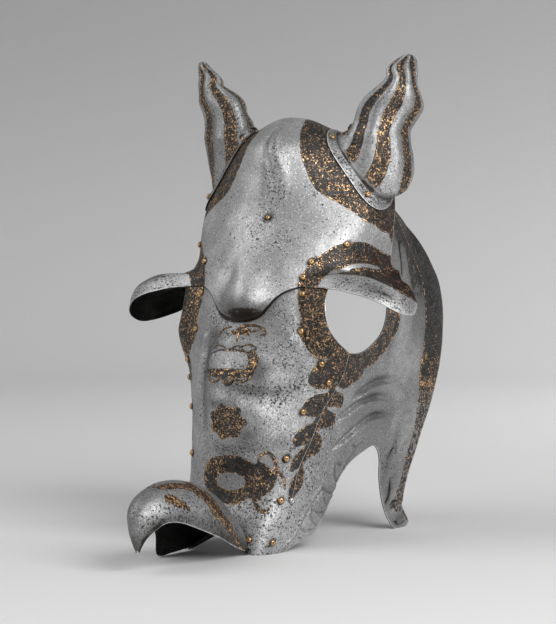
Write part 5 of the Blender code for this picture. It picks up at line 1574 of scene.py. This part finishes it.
class ARMOUR_OT_stage(bpy.types.Operator):
    """Build the floor, the lights and the camera"""
    bl_idname = "armour.stage"
    bl_label = "Stage, lights and camera"
    bl_options = {"REGISTER", "UNDO"}

    def execute(self, context):
        scene, stage = context.scene, context.scene.armour_stage
        self.floor(stage)
        self.light(scene, "key_light", (2.2, -0.9, 1.65), 2.0, stage.key)
        self.light(scene, "fill_light", (-1.9, -1.6, 2.2), 2.4, stage.fill)
        self.light(scene, "backdrop_light", (1.8, 2.2, 1.6), 1.4, stage.back, (-0.2, 4.3, 1.0))
        scene.world = bpy.data.worlds.new("surround")
        scene.world.use_nodes = True
        background = scene.world.node_tree.nodes["Background"]
        background.inputs["Color"].default_value = (1.0, 1.0, 1.0, 1.0)
        background.inputs["Strength"].default_value = stage.world
        scene.view_settings.view_transform = "Standard"
        data = bpy.data.cameras.new("camera")
        data.sensor_width = 36.0
        data.lens = CAMERA_LENS
        scene.camera = bpy.data.objects.new("camera", data)
        scene.camera.location = CAMERA_PLACE
        scene.camera.rotation_euler = (math.radians(90.0 - CAMERA_TILT), 0.0, math.radians(CAMERA_TURN))
        scene.collection.objects.link(scene.camera)
        return {"FINISHED"}

    def floor(self, stage):
        """Round floor that sweeps up into a backdrop on every side, its colour graded darker higher up as
        painted shade.
        """
        bend, top, steps = 2.4, 5.0, 24
        profile = [(0.0, 0.0), (stage.radius * 0.5, 0.0), (stage.radius, 0.0)]
        for turn in np.arange(1, steps + 1) / steps * math.pi / 2.0:
            profile.append((stage.radius + bend * math.sin(turn), bend - bend * math.cos(turn)))
        profile.append((stage.radius + bend, top))
        shape = bmesh.new()
        spin_profile(shape, [shape.verts.new((r, 0.0, z)) for r, z in profile], FLOOR_SIDES)
        made = Recipe("floor_paper")
        height = made.add("ShaderNodeSeparateXYZ", {"Vector": made.place}).outputs["Z"]
        grain = made.noise(0.002)
        # Darker higher up the backdrop: painted shade
        colour = made.blend(made.step(height, -0.5, 1.6), stage.floor, stage.backdrop)
        colour = made.blend(made.scale(grain, 0.0, 0.04), colour, stage.backdrop)
        floor = new_piece("floor", shape, [made.shader(colour, 0.0, 0.8, grain, 0.00005)], settle=False)
        if sum(face.normal.z for face in floor.data.polygons) < 0.0:
            floor.data.flip_normals()

    def light(self, scene, name, place, size, power, target=(0.0, 0.0, 0.25)):
        """Square soft light that faces a target."""
        data = bpy.data.lights.new(name, "AREA")
        data.size = size
        data.energy = power
        lamp = bpy.data.objects.new(name, data)
        lamp.location = place
        lamp.rotation_euler = (Vector(target) - Vector(place)).to_track_quat("-Z", "Y").to_euler()
        scene.collection.objects.link(lamp)


class ARMOUR_PT_panel(bpy.types.Panel):
    """Lists the building steps and their settings"""
    bl_label = "Horse Head Armour"
    bl_idname = "ARMOUR_PT_panel"
    bl_space_type = "VIEW_3D"
    bl_region_type = "UI"
    bl_category = "Armour"

    def draw(self, context):
        for step in STEPS:
            self.layout.operator(step.bl_idname)
        for group in SETTINGS:
            box = self.layout.box()
            for key in SETTINGS[group].__annotations__:
                box.prop(getattr(context.scene, group), key)


SETTINGS = {"armour_shape": ArmourShape, "armour_finish": ArmourFinish, "armour_stage": ArmourStage}
STEPS = (ARMOUR_OT_stage, ARMOUR_OT_crown, ARMOUR_OT_muzzle, ARMOUR_OT_cheeks, ARMOUR_OT_snout,
         ARMOUR_OT_ears, ARMOUR_OT_rivets)
CLASSES = (*SETTINGS.values(), *STEPS, ARMOUR_PT_panel)


def register():
    for kind in CLASSES:
        bpy.utils.register_class(kind)
    for group, kind in SETTINGS.items():
        setattr(bpy.types.Scene, group, PointerProperty(type=kind))


def unregister():
    for group in SETTINGS:
        delattr(bpy.types.Scene, group)
    for kind in reversed(CLASSES):
        bpy.utils.unregister_class(kind)


def main():
    """Build the armour and its stage."""
    register()
    bpy.ops.armour.stage()
    bpy.ops.armour.crown()
    bpy.ops.armour.muzzle()
    bpy.ops.armour.cheeks()
    bpy.ops.armour.snout()
    bpy.ops.armour.ears()
    bpy.ops.armour.rivets()


if __name__ == "__main__":
    main()
